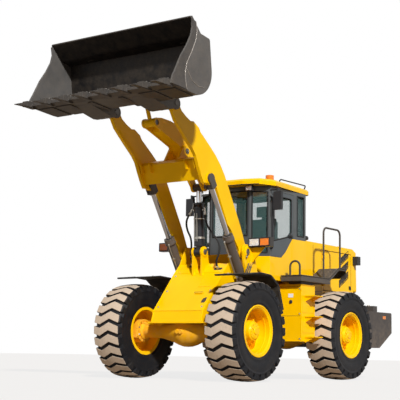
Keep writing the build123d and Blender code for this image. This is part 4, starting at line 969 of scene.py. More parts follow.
# %% [markdown]
# ## Front frame: bolts, pin keepers, slots and pipes
#
# The nose plate is bolted along its edges and cut by two slots that let the tilt hoses in. Each pin of
# the frame is held by a keeper, a small plate with one bolt that stops the pin from turning. The
# welds that join the tower's plates show as a fine raised bead. Plates and keepers are cut as thin
# slabs, beads are slim tubes, and the bolt heads come from the node tree.

# %% Nose plate
nose_low, nose_high = Vector((1.560, 0, 0.945)), Vector((1.095, 0, 1.495))
nose_run = (nose_high - nose_low).normalized()
nose_out = Vector((nose_run.z, 0, -nose_run.x))


def on_nose(share, y, proud=0.0):
    """A point on the nose plate, share of the way up it, and proud of its face."""
    return nose_low + (nose_high - nose_low) * share + Vector((0, y, 0)) + nose_out * proud


studs = [on_nose(share, sign * 0.375, 0.0) for share in (0.10, 0.52, 0.93) for sign in (1, -1)]
bolts("nose_bolts", "front_chassis", studs, nose_out, radius=0.011, height=0.008)
hatch = Shape()
corner = on_nose(0.62, 0.13)
hatch.slab([(0, 0), (0.20, 0), (0.20, 0.012), (0.012, 0.012), (0.012, 0.15), (0, 0.15)], corner,
           (0, 1, 0), nose_run, 0.003, 0.001)
hatch.slab([(0.02, -0.14), (0.14, -0.14), (0.15, -0.125), (0.15, -0.118), (0.01, -0.118), (0.01, -0.125)],
           corner, (0, 1, 0), nose_run, 0.016, 0.004)
hatch.bar(on_nose(0.0, -0.41, 0.002), on_nose(0.0, 0.41, 0.002), 0.004, 8)
hatch.bar(on_nose(1.0, -0.41, 0.001), on_nose(1.0, 0.41, 0.001), 0.004, 8)
nose_weld = 0.424
for sign in (1, -1):
    y = sign * nose_weld
    hatch.tube([(1.600, y, 0.792), on_nose(0.0, y, 0.002), on_nose(1.0, y, 0.002), (0.935, y, 1.652)],
               0.006, 0.02, 8)
    hatch.box((1.500, sign * 0.470 - 0.018, 0.745), (1.570, sign * 0.470 + 0.018, 0.775), 0.006)
hatch.piece("nose_trim", "front_chassis", body_yellow)
# Painted shade: flat dark patches are laid on the nose plate where the hose slots and other openings are,
# for the shade inside them; nothing is cut through.
dark = Shape()
for x, y, long in ((1.030, 0.300, 0.060), (0.965, -0.190, 0.050)):
    seat = Vector((x, y, 1.495 + (1.095 - x) * 145 / 165))
    rise = Vector((-165, 0, 145)).normalized()
    dark.slab([(-long, -0.026), (long, -0.026), (long + 0.012, 0), (long, 0.026), (-long, 0.026),
               (-long - 0.012, 0)], seat, (0, 1, 0), rise, 0.0016)
dark.slab([(0, -0.116), (0.145, -0.116), (0.145, -0.108), (0, -0.108)], corner, (0, 1, 0), nose_run, 0.0165)
dark.slab([(0.19, -0.30), (0.25, -0.30), (0.26, -0.26), (0.25, -0.20), (0.20, -0.22), (0.19, -0.26)],
          corner, (0, 1, 0), nose_run, 0.0016)
dark.piece("nose_openings_painted_shade", "front_chassis", deck_black)
print("nose plate bolts:", len(studs))

# %% Pin keepers
def keeper(name, body, pin, y, way, pin_size, boss, paint=None, turn=0.6):
    """The end of a pin in its boss, with a keeper plate and bolt; pin is (x, z), way is +1 or -1 along y."""
    x, z = pin
    out = (0, way, 0)
    shape = Shape()
    shape.turned([(boss, 0.0), (boss, 0.006), (boss - 0.006, 0.010), (pin_size + 0.004, 0.010),
                  (pin_size + 0.004, 0.0)], (x, y, z), out, 40)
    shape.piece(f"{name}_boss", body, paint or boom_yellow)
    steel = Shape()
    steel.turned([(0, 0.016), (pin_size - 0.004, 0.016), (pin_size, 0.012), (pin_size, 0.0)], (x, y, z),
                 out, 32)
    along, rise = Vector((cos(turn), 0, sin(turn))), Vector((-sin(turn), 0, cos(turn)))
    start = Vector((x, y + way * 0.0165, z))
    if way > 0:
        along = -along
    steel.slab([(-0.012, -0.014), (boss + 0.022, -0.014), (boss + 0.022, 0.014), (-0.012, 0.014)], start,
               along, rise, 0.006, 0.002)
    steel.piece(f"{name}_keeper", body, pin_steel)
    stud = start + along * (boss + 0.008) + Vector((0, way * 0.006, 0))
    bolts(f"{name}_bolt", body, [tuple(stud)], out, radius=0.010, height=0.009)


tower_outer = 0.620
for label, sign in both_sides:
    keeper(f"boom_pivot_{label}", "front_chassis", pin_at["boom"], sign * tower_outer, sign,
           pin_size=0.045, boss=0.085, paint=body_yellow, turn=2.2)
    keeper(f"lift_base_{label}", "front_chassis", pin_at["lift base"], sign * tower_outer, sign,
           pin_size=0.035, boss=0.060, paint=body_yellow, turn=1.2)
    keeper(f"tilt_base_{label}", "front_chassis", pin_at["tilt base"], sign * 0.090, sign, pin_size=0.038,
           boss=0.074, paint=body_yellow, turn=-0.9)
print("frame pins kept")

# %% Tower welds and pipes
beads = Shape()
tower_edge = [(0.470, 1.040), (0.470, 1.450), (0.600, 1.800), (0.690, 1.910), (0.840, 1.900),
              (0.880, 1.800), (0.850, 1.650), (0.720, 1.330)]
for sign in (1, -1):
    beads.tube([(x, sign * 0.596, z) for x, z in tower_edge], 0.005, 0.03, 8)
    beads.bar((0.482, sign * 0.436, 1.05), (0.482, sign * 0.436, 1.44), 0.006, 8)
    for y in (0.061, 0.091):
        beads.bar((0.945, sign * y, 1.640), (1.096, sign * y, 1.500), 0.006, 8)
        beads.bar((1.096, sign * y, 1.500), (1.128, sign * y, 1.458), 0.006, 8)
beads.piece("tower_welds", "front_chassis", body_yellow)
pipes = Shape()
block = (0.80, 0.640, 1.40)
pipes.box((block[0] - 0.05, 0.621, 1.400), (block[0] + 0.07, 0.690, 1.455), 0.006)
for step in range(3):
    x = block[0] - 0.03 + 0.04 * step
    pipes.tube([(x, 0.655, 1.445), (x, 0.655, 1.500 + 0.02 * step), (x - 0.05, 0.640, 1.560),
                (x - 0.10, 0.632, 1.640)], 0.009, 0.03, 10)
    pipes.turned([(0, 0.022), (0.013, 0.022), (0.013, 0.0)], (x, 0.655, 1.452), (0, 0, 1), 6)
pipes.tube([(0.86, 0.660, 1.42), (0.93, 0.665, 1.40), (0.95, 0.650, 1.34), (0.93, 0.630, 1.28)], 0.011,
           0.04, 10)
pipes.piece("valve_pipes", "front_chassis", cylinder_brown)
print("tower dressed")

# %% [markdown]
# ## Boom: bosses, welds and keepers
#
# Each arm is a thick plate with bosses welded on where pins pass. The box beam between the arms is
# closed by long fillet welds, which are the first thing one sees on a bare boom. The bosses are
# turned rings with a keeper on each arm's pivot pin, and the welds are beads that follow the beam's corners.

# %% Arm bosses and beam welds
arm_in, arm_out = 0.490, 0.540
for label, sign in both_sides:
    keeper(f"arm_pivot_{label}", "boom", pin_at["boom"], sign * arm_in, -sign, pin_size=0.045, boss=0.090,
           paint=None, turn=0.5)
    ring = Shape()
    for pin, radius in (("boom", 0.100), ("lift eye", 0.088), ("bucket", 0.091)):
        for y, way in ((arm_out, sign), (arm_in, -sign)):
            proud = (0.007 if radius < 0.095 else 0.0) * (1 if way == sign else -1)
            ring.turned([(radius + 0.004, -0.001), (radius + 0.001, 0.004)],
                        at_pin(pin, sign * (y + proud)), (0, way, 0), 40)
    ring.piece(f"boss_beads_{label}", "boom", boom_yellow)
beam = [(1.735, 2.715), (1.830, 2.975), (1.800, 3.010), (1.690, 3.050), (1.655, 2.850), (1.704, 2.738)]
beads = Shape()
for sign in (1, -1):
    beads.outline([(x, sign * (arm_in - 0.003), z) for x, z in beam], 0.007, 8)
    for y in (0.101, 0.128):
        beads.tube([(1.668, sign * y, 2.905), (1.700, sign * y, 3.046), (1.795, sign * y, 3.010)], 0.006,
                   0.02, 8)
beads.piece("beam_welds", "boom", boom_yellow)
stiffeners = Shape()
for sign in (1, -1):
    for y in (0.300, 0.455):
        low, high = span(sign, y, y + 0.014)
        stiffeners.plate([(1.826, 2.960), (1.900, 2.985), (1.850, 2.860), (1.790, 2.865)], low, high, 0.002)
stiffeners.piece("beam_gussets", "boom", boom_yellow)
print("boom welded and pinned")

# %% Bellcrank and link
crank = Shape()
crank_half = 0.100
for sign in (1, -1):
    for pin, radius in (("link", 0.064), ("tilt eye", 0.062)):
        crank.turned([(radius, 0.0), (radius, 0.010), (radius - 0.006, 0.014), (0.040, 0.014)],
                     at_pin(pin, sign * crank_half), (0, sign, 0), 36)
    crank.tube([(1.350, sign * 0.099, 3.110), (1.830, sign * 0.099, 3.480), (2.140, sign * 0.099, 3.505)],
               0.004, 0.05, 6)
crank.piece("bellcrank_rings", "bellcrank_body", boom_yellow)
ends = Shape()
for sign in (1, -1):
    ends.turned([(0.0, 0.020), (0.030, 0.020), (0.034, 0.016), (0.034, 0.0)],
                at_pin("tilt eye", sign * crank_half), (0, sign, 0), 28)
    ends.turned([(0.0, 0.004), (0.012, 0.004), (0.012, 0.0)], at_pin("tilt eye", sign * 0.120),
                (0, sign, 0), 6)
ends.piece("tilt_eye_pin", "bellcrank_body", pin_steel)
nipples = Shape()
for sign in (1, -1):
    nipples.turned([(0.0, 0.022), (0.005, 0.020), (0.009, 0.006), (0.009, 0.0)],
                   at_pin("crank", sign * 0.135), (0, sign, 0), 10)
nipples.piece("crank_pin_nipples", "bellcrank_pivot", zinc)
print("linkage dressed")

# %% [markdown]
# ## Bucket
#
# The bucket is a rolled shell with a thick cutting edge. Bolt-on teeth sit in adapters that clasp the
# edge, wear plates cover the heel, and a second plate doubles the front of each end against rocks.
# The plates are cut to the same curve as the shell, a little way off it, and the weld around each is
# a thin bead. Inside, the shell's finish darkens to almost black wherever a face looks towards the
# middle of the bucket: this is painted shade, for the shade that falls inside the bucket.

# %% Bucket paint, with painted shade inside
bucket_paint_and_shade = bucket_grey.copy()
bucket_paint_and_shade.name = "bucket paint and shade"
tree = bucket_paint_and_shade.node_tree
base = next(n for n in tree.nodes if n.type == "GROUP" and n.node_tree == drift)
place = node(tree, "ShaderNodeTexCoord")
middle = (hinge_x + 2.95, 0.0, 4.05)
away = node(tree, "ShaderNodeVectorMath", {0: middle, 1: place.outputs["Object"]},
            operation="SUBTRACT").outputs[0]
away = node(tree, "ShaderNodeVectorMath", {0: away, 1: (1, 0, 1)}, operation="MULTIPLY").outputs[0]
facing = node(tree, "ShaderNodeVectorMath", {0: away, 1: place.outputs["Normal"]},
              operation="DOT_PRODUCT").outputs["Value"]
# Painted shade: inner is 1 on faces that look towards the middle of the bucket, where the grey turns near
# black for the shade inside it; the scraped noise lightens a few patches of that shade.
inner = ramp(tree, facing, 0.02, 0.12)
scraped = ramp(tree, noise(tree, place.outputs["Object"], 3.0, 6.0, 0.65), 0.5, 0.8, 0.0, 0.5)
outside, inside, inside_scraped = (0.104, 0.100, 0.096, 1), (0.006, 0.006, 0.007, 1), (0.013, 0.012,
                                                                                       0.012, 1)
painted_shade_inside = blend_colour(tree, scraped, inside, inside_scraped)
wire(tree, blend_colour(tree, inner, outside, painted_shade_inside), base.inputs["Colour"])
nodes["bucket"].data.materials[0] = bucket_paint_and_shade
print("bucket painted dark inside")

# %% Teeth, wear plates and side cutters
tooth_count, tooth_half, edge_half = 8, 0.038, 1.192
tooth_step = 2 * (edge_half - tooth_half) / (tooth_count - 1)
teeth = [tooth_half - edge_half + k * tooth_step for k in range(tooth_count)]
adapter = Shape()
low = teeth[0]
adapter.plate([(3.300, 3.597), (3.290, 3.588), (3.330, 3.579), (3.480, 3.584), (3.480, 3.590),
               (3.340, 3.5895)], low - 0.030, low + 0.030, 0.002)
adapter.plate([(3.255, 3.634), (3.290, 3.672), (3.400, 3.674), (3.485, 3.662), (3.485, 3.6555),
               (3.340, 3.6555), (3.315, 3.636)], low - 0.030, low + 0.030, 0.003)
adapter.box((3.472, low - 0.043, 3.586), (3.500, low + 0.043, 3.658), 0.006)
row = grown(finished(adapter.mesh, "adapter"), in_a_row, bucket_grey, Count=tooth_count,
            Step=(0, tooth_step, 0))
piece_from(row, "tooth_adapters", "bucket_body", bucket_grey)
bolts("adapter_bolts", "bucket_body", [(x, y, 3.6735) for y in teeth for x in (3.325, 3.375)], (0, 0, 1),
      radius=0.013, height=0.010, material=worn_steel)
bolts("edge_bolts", "bucket_body", [(3.300, y + tooth_step / 2, 3.6375) for y in teeth[:-1]],
      (0.07, 0, 1), radius=0.015, height=0.006, material=worn_steel)

wear_plates = Shape()
floor_line = [(3.235, 3.5985), (2.860, 3.573)]
wear_rows = [(y, y + 0.26) for y in (-1.16, -0.84, 0.58, 0.90)]
for low, high in wear_rows:
    (x0, z0), (x1, z1) = floor_line
    ring = [(x0, z0), (x1, z1), (x1, z1 - 0.012), (x0, z0 - 0.012)]
    wear_plates.plate(ring, low, high, 0.003)
for y in (-0.30, 0.22):
    wear_plates.plate([(3.20, 3.5965), (2.80, 3.5685), (2.80, 3.5585), (3.20, 3.5865)], y, y + 0.08, 0.003)
wear_plates.piece("wear_plates", "bucket_body", bucket_grey)

side_front = [(3.380, 3.615), (3.356, 3.715), (3.310, 3.788), (3.189, 4.012), (3.078, 4.164),
              (2.995, 4.312), (2.966, 4.420), (2.987, 4.532)]
side_back = [(2.900, 4.510), (2.872, 4.400), (2.900, 4.270), (2.975, 4.110), (3.070, 3.950),
             (3.110, 3.800), (3.080, 3.640), (3.060, 3.600)]
cutters, seams, hooks = Shape(), Shape(), Shape()
bucket_half = 1.212
for sign in (1, -1):
    low, high = span(sign, bucket_half - 0.002, bucket_half + 0.008)
    front = [(x - 0.004, z + 0.003) for x, z in side_front]
    cutters.plate(front + side_back, low, high, 0.0025)
    back = [(x, sign * (bucket_half + 0.004), z) for x, z in side_back]
    seams.tube(back, 0.0065, 0.05, 8)
    inset = [(2.700, 3.700), (2.820, 3.690), (2.960, 3.740), (3.060, 3.860)]
    seams.tube([(x, sign * (bucket_half + 0.001), z) for x, z in inset], 0.004, 0.06, 8)
    hooks.slab([(0, 0), (0.09, 0), (0.09, 0.05), (0.065, 0.075), (0.025, 0.075), (0, 0.05)],
               (2.66, sign * 0.80, 4.345), (0, 1, 0), (-0.2, 0, 1), 0.018, 0.004)
cutters.piece("side_cutters", "bucket_body", bucket_grey)
seams.piece("bucket_welds", "bucket_body", worn_steel)
hooks.piece("lift_hooks", "bucket_body", bucket_grey)
rim = Shape()
rim.bar((2.980, -1.19, 4.560), (2.980, 1.19, 4.560), 0.012, 10)
rim.piece("bucket_lip_bar", "bucket_body", bucket_grey)
print("bucket dressed:", tooth_count, "adapters,", len(wear_rows), "wear plates")

# %% [markdown]
# ## Hydraulic hoses of the tilt cylinder
#
# Two hoses leave the frame's slots and rise to ports near the top of the tilt barrel. A hose is a
# fixed length of stiff rubber over steel wire, so it hangs in one smooth line. Each is a spline
# through its route and is swept with a round section. The ferrule at its lower end rides on the frame
# and the one at its upper end on the barrel, which rocks.

# %% Tilt hoses
hose_radius = 0.014
hose_routes = {
    "left": [(1.112, 0.112, 2.370), (1.116, 0.116, 2.190), (1.100, 0.365, 1.930), (1.100, 0.372, 1.780),
             (1.1026, 0.300, 1.6351), (1.030, 0.300, 1.5525)],
    "right": [(1.130, -0.112, 2.370), (1.185, -0.160, 2.290), (1.130, -0.195, 2.130), (1.010, -0.180, 1.990),
              (1.031, -0.190, 1.6848), (0.965, -0.190, 1.6097)],
}


def spline_points(name, route, resolution=14):
    """Points along a smooth spline that is led by the route's points."""
    data = bpy.data.curves.new(name, "CURVE")
    data.dimensions = "3D"
    spline = data.splines.new("NURBS")
    spline.points.add(len(route) - 1)
    for point, place in zip(spline.points, route):
        point.co = (*place, 1)
    spline.order_u = 3
    spline.use_endpoint_u = True
    spline.resolution_u = resolution
    holder = placed(name, data)
    line = bpy.data.meshes.new_from_object(holder.evaluated_get(bpy.context.evaluated_depsgraph_get()))
    points = [v.co.copy() for v in line.vertices]
    bpy.data.objects.remove(holder)
    return points


for side, route in hose_routes.items():
    line = spline_points(f"hose route {side}", route)
    shape = Shape().tube(line, hose_radius, bend=0, sides=16)
    data = finished(shape.mesh, f"tilt_hose_{side}")
    data.materials.append(rubber)
    data.shade_smooth()
    hose = placed(f"tilt_hose_{side}", data)
    low, high = Vector(route[-1]), Vector(route[0])
    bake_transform(hose)
    for tag, at, ahead, body in (("low", line[-1], line[-1] - line[-2], "front_chassis"),
                                 ("high", line[0], line[0] - line[1], "tilt_cylinder")):
        ahead = ahead.normalized()
        ferrule = Shape()
        ferrule.turned([(0.0, 0.004), (0.016, 0.004), (0.0185, -0.002), (0.0185, -0.045),
                        (0.0155, -0.050), (0.014, -0.050)], at, ahead, 20)
        ferrule.piece(f"hose_ferrule_{side}_{tag}", body, zinc)
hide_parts("tilt_hoses")
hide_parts("tilt_hoses")

# %% [markdown]
# ## Cylinders
#
# A hydraulic cylinder's barrel ends in a gland, a thick ring held by bolts, with a wiper seal round
# the rod. A steel pipe runs along the barrel from the port at its foot to the one at its head,
# clamped in the middle. One function dresses every barrel, placed by its base, direction and length.

# %% Glands, ports and pipes
def dress_barrel(name, body, base, towards, length, barrel, head, rod, side, paint, pipe=True):
    """Gland, bolts, wiper, welds and a pipe on a barrel whose head stands length from base."""
    base = Vector(base)
    axis = (Vector(towards) - base).normalized()
    side = (Vector(side) - axis * Vector(side).dot(axis)).normalized()
    other = axis.cross(side)
    top = base + axis * length
    dark, steel = Shape(), Shape()
    dark.turned([(head - 0.001, -0.088), (head + 0.008, -0.082), (head + 0.008, -0.042),
                 (head + 0.004, -0.036), (head + 0.004, -0.006), (head - 0.006, 0.002),
                 (rod + 0.012, 0.002), (rod + 0.012, -0.01)], top, axis, 40)
    dark.turned([(barrel + 0.0005, 0.055), (barrel + 0.005, 0.060), (barrel + 0.0005, 0.068)],
                base + axis * 0.03, axis, 36)
    dark.piece(f"{name}_gland", body, paint)
    steel.turned([(rod + 0.010, 0.001), (rod + 0.008, 0.010), (rod + 0.001, 0.012), (rod + 0.001, 0.002)],
                 top, axis, 32)
    steel.piece(f"{name}_wiper", body, rubber)
    turns = [2 * pi * (k + 0.5) / 10 for k in range(10)]
    middle = (head + 0.004 + rod + 0.012) / 2 + 0.004
    studs = [top + (side * cos(t) + other * sin(t)) * middle + axis * 0.002 for t in turns]
    bolts(f"{name}_gland_bolts", body, [tuple(p) for p in studs], axis, radius=0.0085, height=0.009,
          material=paint)
    if pipe:
        low, high = base + axis * 0.13, top - axis * 0.062
        out = barrel + 0.022
        line = [low + side * (barrel - 0.004), low + side * out, low + side * out + axis * 0.05,
                high + side * out, high + side * (head + 0.004)]
        tube = Shape()
        tube.tube(line, 0.0095, 0.03, 10)
        for share in (0.32, 0.72):
            at = low + (high - low) * share
            tube.slab([(-0.020, 0.0), (0.020, 0.0), (0.020, out - barrel + 0.014),
                       (-0.020, out - barrel + 0.014)], at + side * (barrel - 0.003) - axis * 0.012,
                      other, side, -0.024, 0.004)
        for at in (low, high):
            tube.turned([(0.020, -0.003), (0.020, 0.014), (0.016, 0.018), (0.0, 0.018)],
                        at + side * (barrel - 0.002), side, 6)
        tube.piece(f"{name}_pipe", body, zinc)


for label, sign in both_sides:
    middle = sign * (arm_in + arm_out) / 2
    base, towards = at_pin("lift base", middle), at_pin("lift eye", middle)
    dress_barrel(f"lift_{label}", f"lift_cylinder_{label}", base, towards, length=1.019, barrel=0.066,
                 head=0.074, rod=0.036, side=(1, -sign * 0.35, -0.6), paint=cylinder_brown)
    eye = Shape()
    lift_axis = (towards - base).normalized()
    eye.turned([(0.0365, -0.150), (0.044, -0.146), (0.050, -0.120), (0.056, -0.080), (0.056, -0.062)],
               towards, lift_axis, 28)
    for way in (1, -1):
        eye.turned([(0.066, 0.0), (0.066, 0.004), (0.062, 0.006), (0.040, 0.006)],
                   at_pin("lift eye", middle + way * 0.0245), (0, way, 0), 32)
    eye.piece(f"lift_rod_end_{label}", f"lift_piston_{label}", cylinder_brown)
tilt_base, tilt_eye = at_pin("tilt base", 0), at_pin("tilt eye", 0)
tilt_axis = (tilt_eye - tilt_base).normalized()
dress_barrel("tilt", "tilt_cylinder", tilt_base, tilt_eye, length=0.700, barrel=0.078, head=0.086,
             rod=0.040, side=(1, 0, 0), paint=gloss_black, pipe=False)
ports, band = Shape(), Shape()
for side, sign in both_sides:
    start = Vector(hose_routes[side][0])
    seat = tilt_base + tilt_axis * ((start - tilt_base).dot(tilt_axis) + 0.012)
    ports.tube([start + Vector((0, 0, 0.002)), start + Vector((0, 0, 0.034)),
                seat + Vector((0, sign * 0.070, 0.030))], 0.0125, 0.02, 12)
    ports.turned([(0.022, 0.0), (0.022, 0.020), (0.018, 0.024), (0.0, 0.024)],
                 seat + Vector((0, sign * 0.074, 0.030)), (0, sign, 0), 6)
    ports.box(seat + Vector((-0.030, sign * 0.078 - 0.012, 0.006)),
              seat + Vector((0.030, sign * 0.078 + 0.012, 0.056)), 0.005)
ports.piece("tilt_ports", "tilt_cylinder", zinc)
for along in (0.19, 0.205, 0.47):
    band.turned([(0.0785, 0.0), (0.0815, 0.002), (0.0815, 0.012), (0.0785, 0.014)],
                tilt_base + tilt_axis * along, tilt_axis, 36)
for sign in (1, -1):
    foot = tilt_base + tilt_axis * 0.15 + Vector((0.083, sign * 0.018, 0))
    band.bar(foot, foot + tilt_axis * 0.40, 0.006, 8)
band.piece("tilt_bands", "tilt_cylinder", zinc)
for label, sign in both_sides:
    base = (-0.560, sign * 0.190, 0.850)
    towards = Vector(base) + Vector((0.996815, sign * 0.079745, 0))
    dress_barrel(f"steer_{label}", f"steer_cylinder_{label}", base, towards, length=0.500, barrel=0.046,
                 head=0.052, rod=0.026, side=(0, 0, 1), paint=gloss_black, pipe=False)
print("cylinders dressed: 2 lift, 1 tilt, 2 steering")

# %% [markdown]
# ## Cab: seals, handles, mirrors, wiper and roof fittings
#
# The panes sit in black rubber seals. Each is a thin tube round its opening, where the real strip is
# pressed over the edge. The doors carry a recessed handle, with a long grab bar on the post
# ahead. The roof panel has a drip rim, two side rails, work lamps with bright bowls, and an amber
# beacon whose dome is turned from a profile.

# %% Seals, handles and bars
cab_half, front_half, front_x, corner_x, rear_x = 0.620, 0.343, 0.310, 0.170, -0.850
facet_run = Vector((corner_x - front_x, cab_half - front_half, 0)).normalized()
seals = Shape()
seal_radius = 0.011
front_pane = [(-0.313, 2.10), (0.313, 2.10), (0.313, 2.76), (-0.313, 2.76)]
rear_pane = [(-0.48, 2.16), (0.48, 2.16), (0.48, 2.77), (-0.48, 2.77)]
quarter_pane = [(-0.790, 2.16), (-0.595, 2.16), (-0.595, 2.77), (-0.790, 2.77)]
seals.outline([(front_x + 0.002, y, z) for y, z in front_pane], seal_radius, 8)
for sign in (1, -1):
    middle = Vector(((front_x + corner_x) / 2, sign * (cab_half + front_half) / 2, 0))
    run = Vector((facet_run.x, sign * facet_run.y, 0)) * 0.115
    low, high = Vector((0, 0, 1.845)), Vector((0, 0, 2.745))
    corners = [middle - run + low, middle + run + low, middle + run + high, middle - run + high]
    seals.outline(corners, seal_radius, 8)
    seals.outline([(x, sign * 0.621, z) for x, z in quarter_pane], 0.009, 8)
seals.outline([(rear_x - 0.002, y, z) for y, z in rear_pane], seal_radius, 8)
seals.piece("window_seals", "rear_chassis", rubber)

bars = Shape()
for sign in (1, -1):
    post = Vector((corner_x - 0.012, sign * (cab_half + 0.004), 0))
    out = Vector((0.018, sign * 0.040, 0))
    bars.staple(post + Vector((0, 0, 2.66)), post + Vector((0, 0, 1.90)), out, 0.011, 0.04)
    roof_y = sign * 0.600
    bars.staple((-0.84, roof_y, 2.915), (-0.10, roof_y, 2.915), (0, sign * 0.02, 0.05), 0.010, 0.04)
bars.piece("cab_bars", "rear_chassis", gloss_black)
for label, sign in both_sides:
    leaf = f"cab_door_leaf_{label}"
    y = sign * (cab_half + 0.0005)
    low, high = sorted((y, y + sign * 0.010))
    handle = Shape()
    handle.plate([(-0.440, 2.105), (-0.440, 2.160), (-0.340, 2.160), (-0.335, 2.130), (-0.355, 2.105)],
                 low, high, 0.003)
    handle.tube([(-0.430, y + sign * 0.008, 2.133), (-0.425, y + sign * 0.026, 2.133),
                 (-0.350, y + sign * 0.026, 2.133), (-0.345, y + sign * 0.008, 2.133)], 0.009, 0.015, 10)
    handle.turned([(0.012, 0.009), (0.012, 0.013), (0.0, 0.013)], (-0.350, y, 2.118), (0, sign, 0), 14)
    handle.piece(f"door_handle_{label}", leaf, black_plastic)
    trim = Shape()
    frame_line = [(0.070, 2.030), (0.070, 2.700), (-0.420, 2.700), (-0.420, 2.190), (-0.330, 2.120),
                  (-0.100, 2.068), (0.070, 2.030)]
    trim.tube([(x, y + sign * 0.001, z) for x, z in frame_line], 0.009, 0.04, 8)
    trim.piece(f"door_seal_{label}", leaf, rubber)
print("cab sealed, doors fitted with handles")

# %% Mirrors, wiper, roof
for label, sign in both_sides:
    low, high = span(sign, 0.742, 0.848)
    face = Shape().box((0.2075, low, 2.475), (0.2100, high, 2.705), 0.001)
    face.piece(f"mirror_face_{label}", "rear_chassis", mirror_face)
    low, high = span(sign, 0.727, 0.863)
    shell = Shape().box((0.216, low, 2.457), (0.264, high, 2.723), 0.018)
    shell.piece(f"mirror_shell_{label}", "rear_chassis", black_plastic)
wiper = Shape()
wiper.turned([(0.0, 0.030), (0.018, 0.028), (0.022, 0.0)], (front_x, 0.05, 2.070), (1, 0, 0), 18)
wiper.tube([(front_x + 0.020, 0.05, 2.070), (front_x + 0.026, 0.02, 2.25),
            (front_x + 0.018, -0.01, 2.44)], 0.006, 0.05, 8)
wiper.bar((front_x + 0.010, 0.005, 2.20), (front_x + 0.012, -0.018, 2.64), 0.0065)
wiper.piece("wiper", "rear_chassis", black_plastic)
roof = Shape()
roof_ring = [(-0.990, -0.600), (-0.990, 0.600), (0.130, 0.690), (0.400, 0.590), (0.470, 0.330),
             (0.470, -0.330), (0.400, -0.590), (0.130, -0.690), (-0.990, -0.600)]
roof.tube([(x * 0.985, y * 0.985, 2.835) for x, y in roof_ring], 0.010, 0.05, 8)
roof.piece("roof_rim", "rear_chassis", deck_black)
panel = Shape()
for y in (-0.34, -0.17, 0.0, 0.17, 0.34):
    panel.box((-0.80, y - 0.035, 2.918), (0.22, y + 0.035, 2.929), 0.005)
panel.piece("roof_ribs", "rear_chassis", body_yellow)
lamps, lenses = Shape(), Shape()
for sign in (1, -1):
    low, high = sorted((sign * 0.385 - 0.050, sign * 0.385 + 0.050))
    lamps.box((0.398, low, 2.750), (0.4025, high, 2.822), 0.0015)
    lenses.box((0.4020, low + 0.006, 2.756), (0.4045, high - 0.006, 2.816), 0.001)
lamps.piece("work_lamp_bowls", "rear_chassis", lamp_bowl)
lenses.piece("work_lamp_lenses", "rear_chassis", clear_lens)
dome = Shape()
dome.turned([(0.0635, 0.018), (0.0640, 0.030), (0.0630, 0.080), (0.0625, 0.1205), (0.050, 0.1235),
             (0.0, 0.1240)], (-0.120, 0.420, 2.9205), (0, 0, 1), 40)
dome.piece("beacon_dome", "rear_chassis", amber_lens)
foot = Shape()
foot.turned([(0.074, 0.0), (0.074, 0.010), (0.066, 0.018), (0.0635, 0.018)], (-0.120, 0.420, 2.9195),
            (0, 0, 1), 40)
foot.piece("beacon_foot", "rear_chassis", black_plastic)
print("roof fitted")

# %% [markdown]
# ## Inside the cab
#
# Through the glass one sees the seat, a leather-dark wheel and the levers. A cushion is a crowned
# closed form that pulls in at its seams. Each starts as a fine block, its points move outward by a
# dome that is zero at the edges, and a sewn channel is pressed in across it. No cloth is laid over
# them, because the cushions are moulded foam that holds its own form.

# %% Cushions of the seat
def cushion(name, low, high, crown, axis, channels=(), round_edge=0.030):
    """A moulded foam cushion in a box: crowned along axis, with rounded rims and sewn channels."""
    low, high = Vector(low), Vector(high)
    middle, half = (low + high) / 2, (high - low) / 2
    seam_pull, channel_depth, channel_reach, under_share = 0.012, 0.010, 0.07, -0.25
    mesh = bmesh.new()
    bmesh.ops.create_cube(mesh, size=2.0)
    bmesh.ops.subdivide_edges(mesh, edges=mesh.edges[:], cuts=23, use_grid_fill=True)
    across = [k for k in range(3) if k != axis]
    for vertex in mesh.verts:
        unit = vertex.co.copy()
        point = Vector((unit.x * half.x, unit.y * half.y, unit.z * half.z))
        core = Vector([max(-h + round_edge, min(h - round_edge, p)) for p, h in zip(point, half)])
        away = point - core
        if away.length > 1e-6:
            point = core + away.normalized() * min(away.length, round_edge)
        u, v = unit[across[0]], unit[across[1]]
        dome = max(0.0, (1 - u ** 4) * (1 - v ** 4))
        dent = sum(channel_depth * max(0.0, 1 - abs(v - c) / channel_reach) for c in channels)
        side = 1 if unit[axis] > 0 else under_share
        point[axis] += side * (crown * (dome - 1) - dent * dome) * abs(unit[axis])
        pull = seam_pull * (1 - unit[axis] ** 2)
        point[across[0]] -= pull * u * (1 - abs(v) ** 6)
        point[across[1]] -= pull * v * (1 - abs(u) ** 6)
        vertex.co = point + middle + Vector((hinge_x, 0, 0))
    data = bpy.data.meshes.new(name)
    mesh.to_mesh(data)
    mesh.free()
    made = piece_from(data, name, "rear_chassis", seat_cloth, smooth=60)
    return made


seat_low = cushion("seat_cushion", (-0.648, -0.240, 1.8205), (-0.180, 0.240, 1.920), crown=0.022, axis=2,
                   channels=(-0.45, 0.45))
seat_back = cushion("back_cushion", (-0.6495, -0.235, 1.930), (-0.550, 0.235, 2.460), crown=0.024, axis=0,
                    channels=(-0.3, 0.3))
seat_head = cushion("head_cushion", (-0.6495, -0.130, 2.480), (-0.570, 0.130, 2.660), crown=0.018, axis=0)
for made in (seat_low, seat_back, seat_head):
    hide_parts("seat_cushions")
print("cushions:", [o.name for o in (seat_low, seat_back, seat_head)])

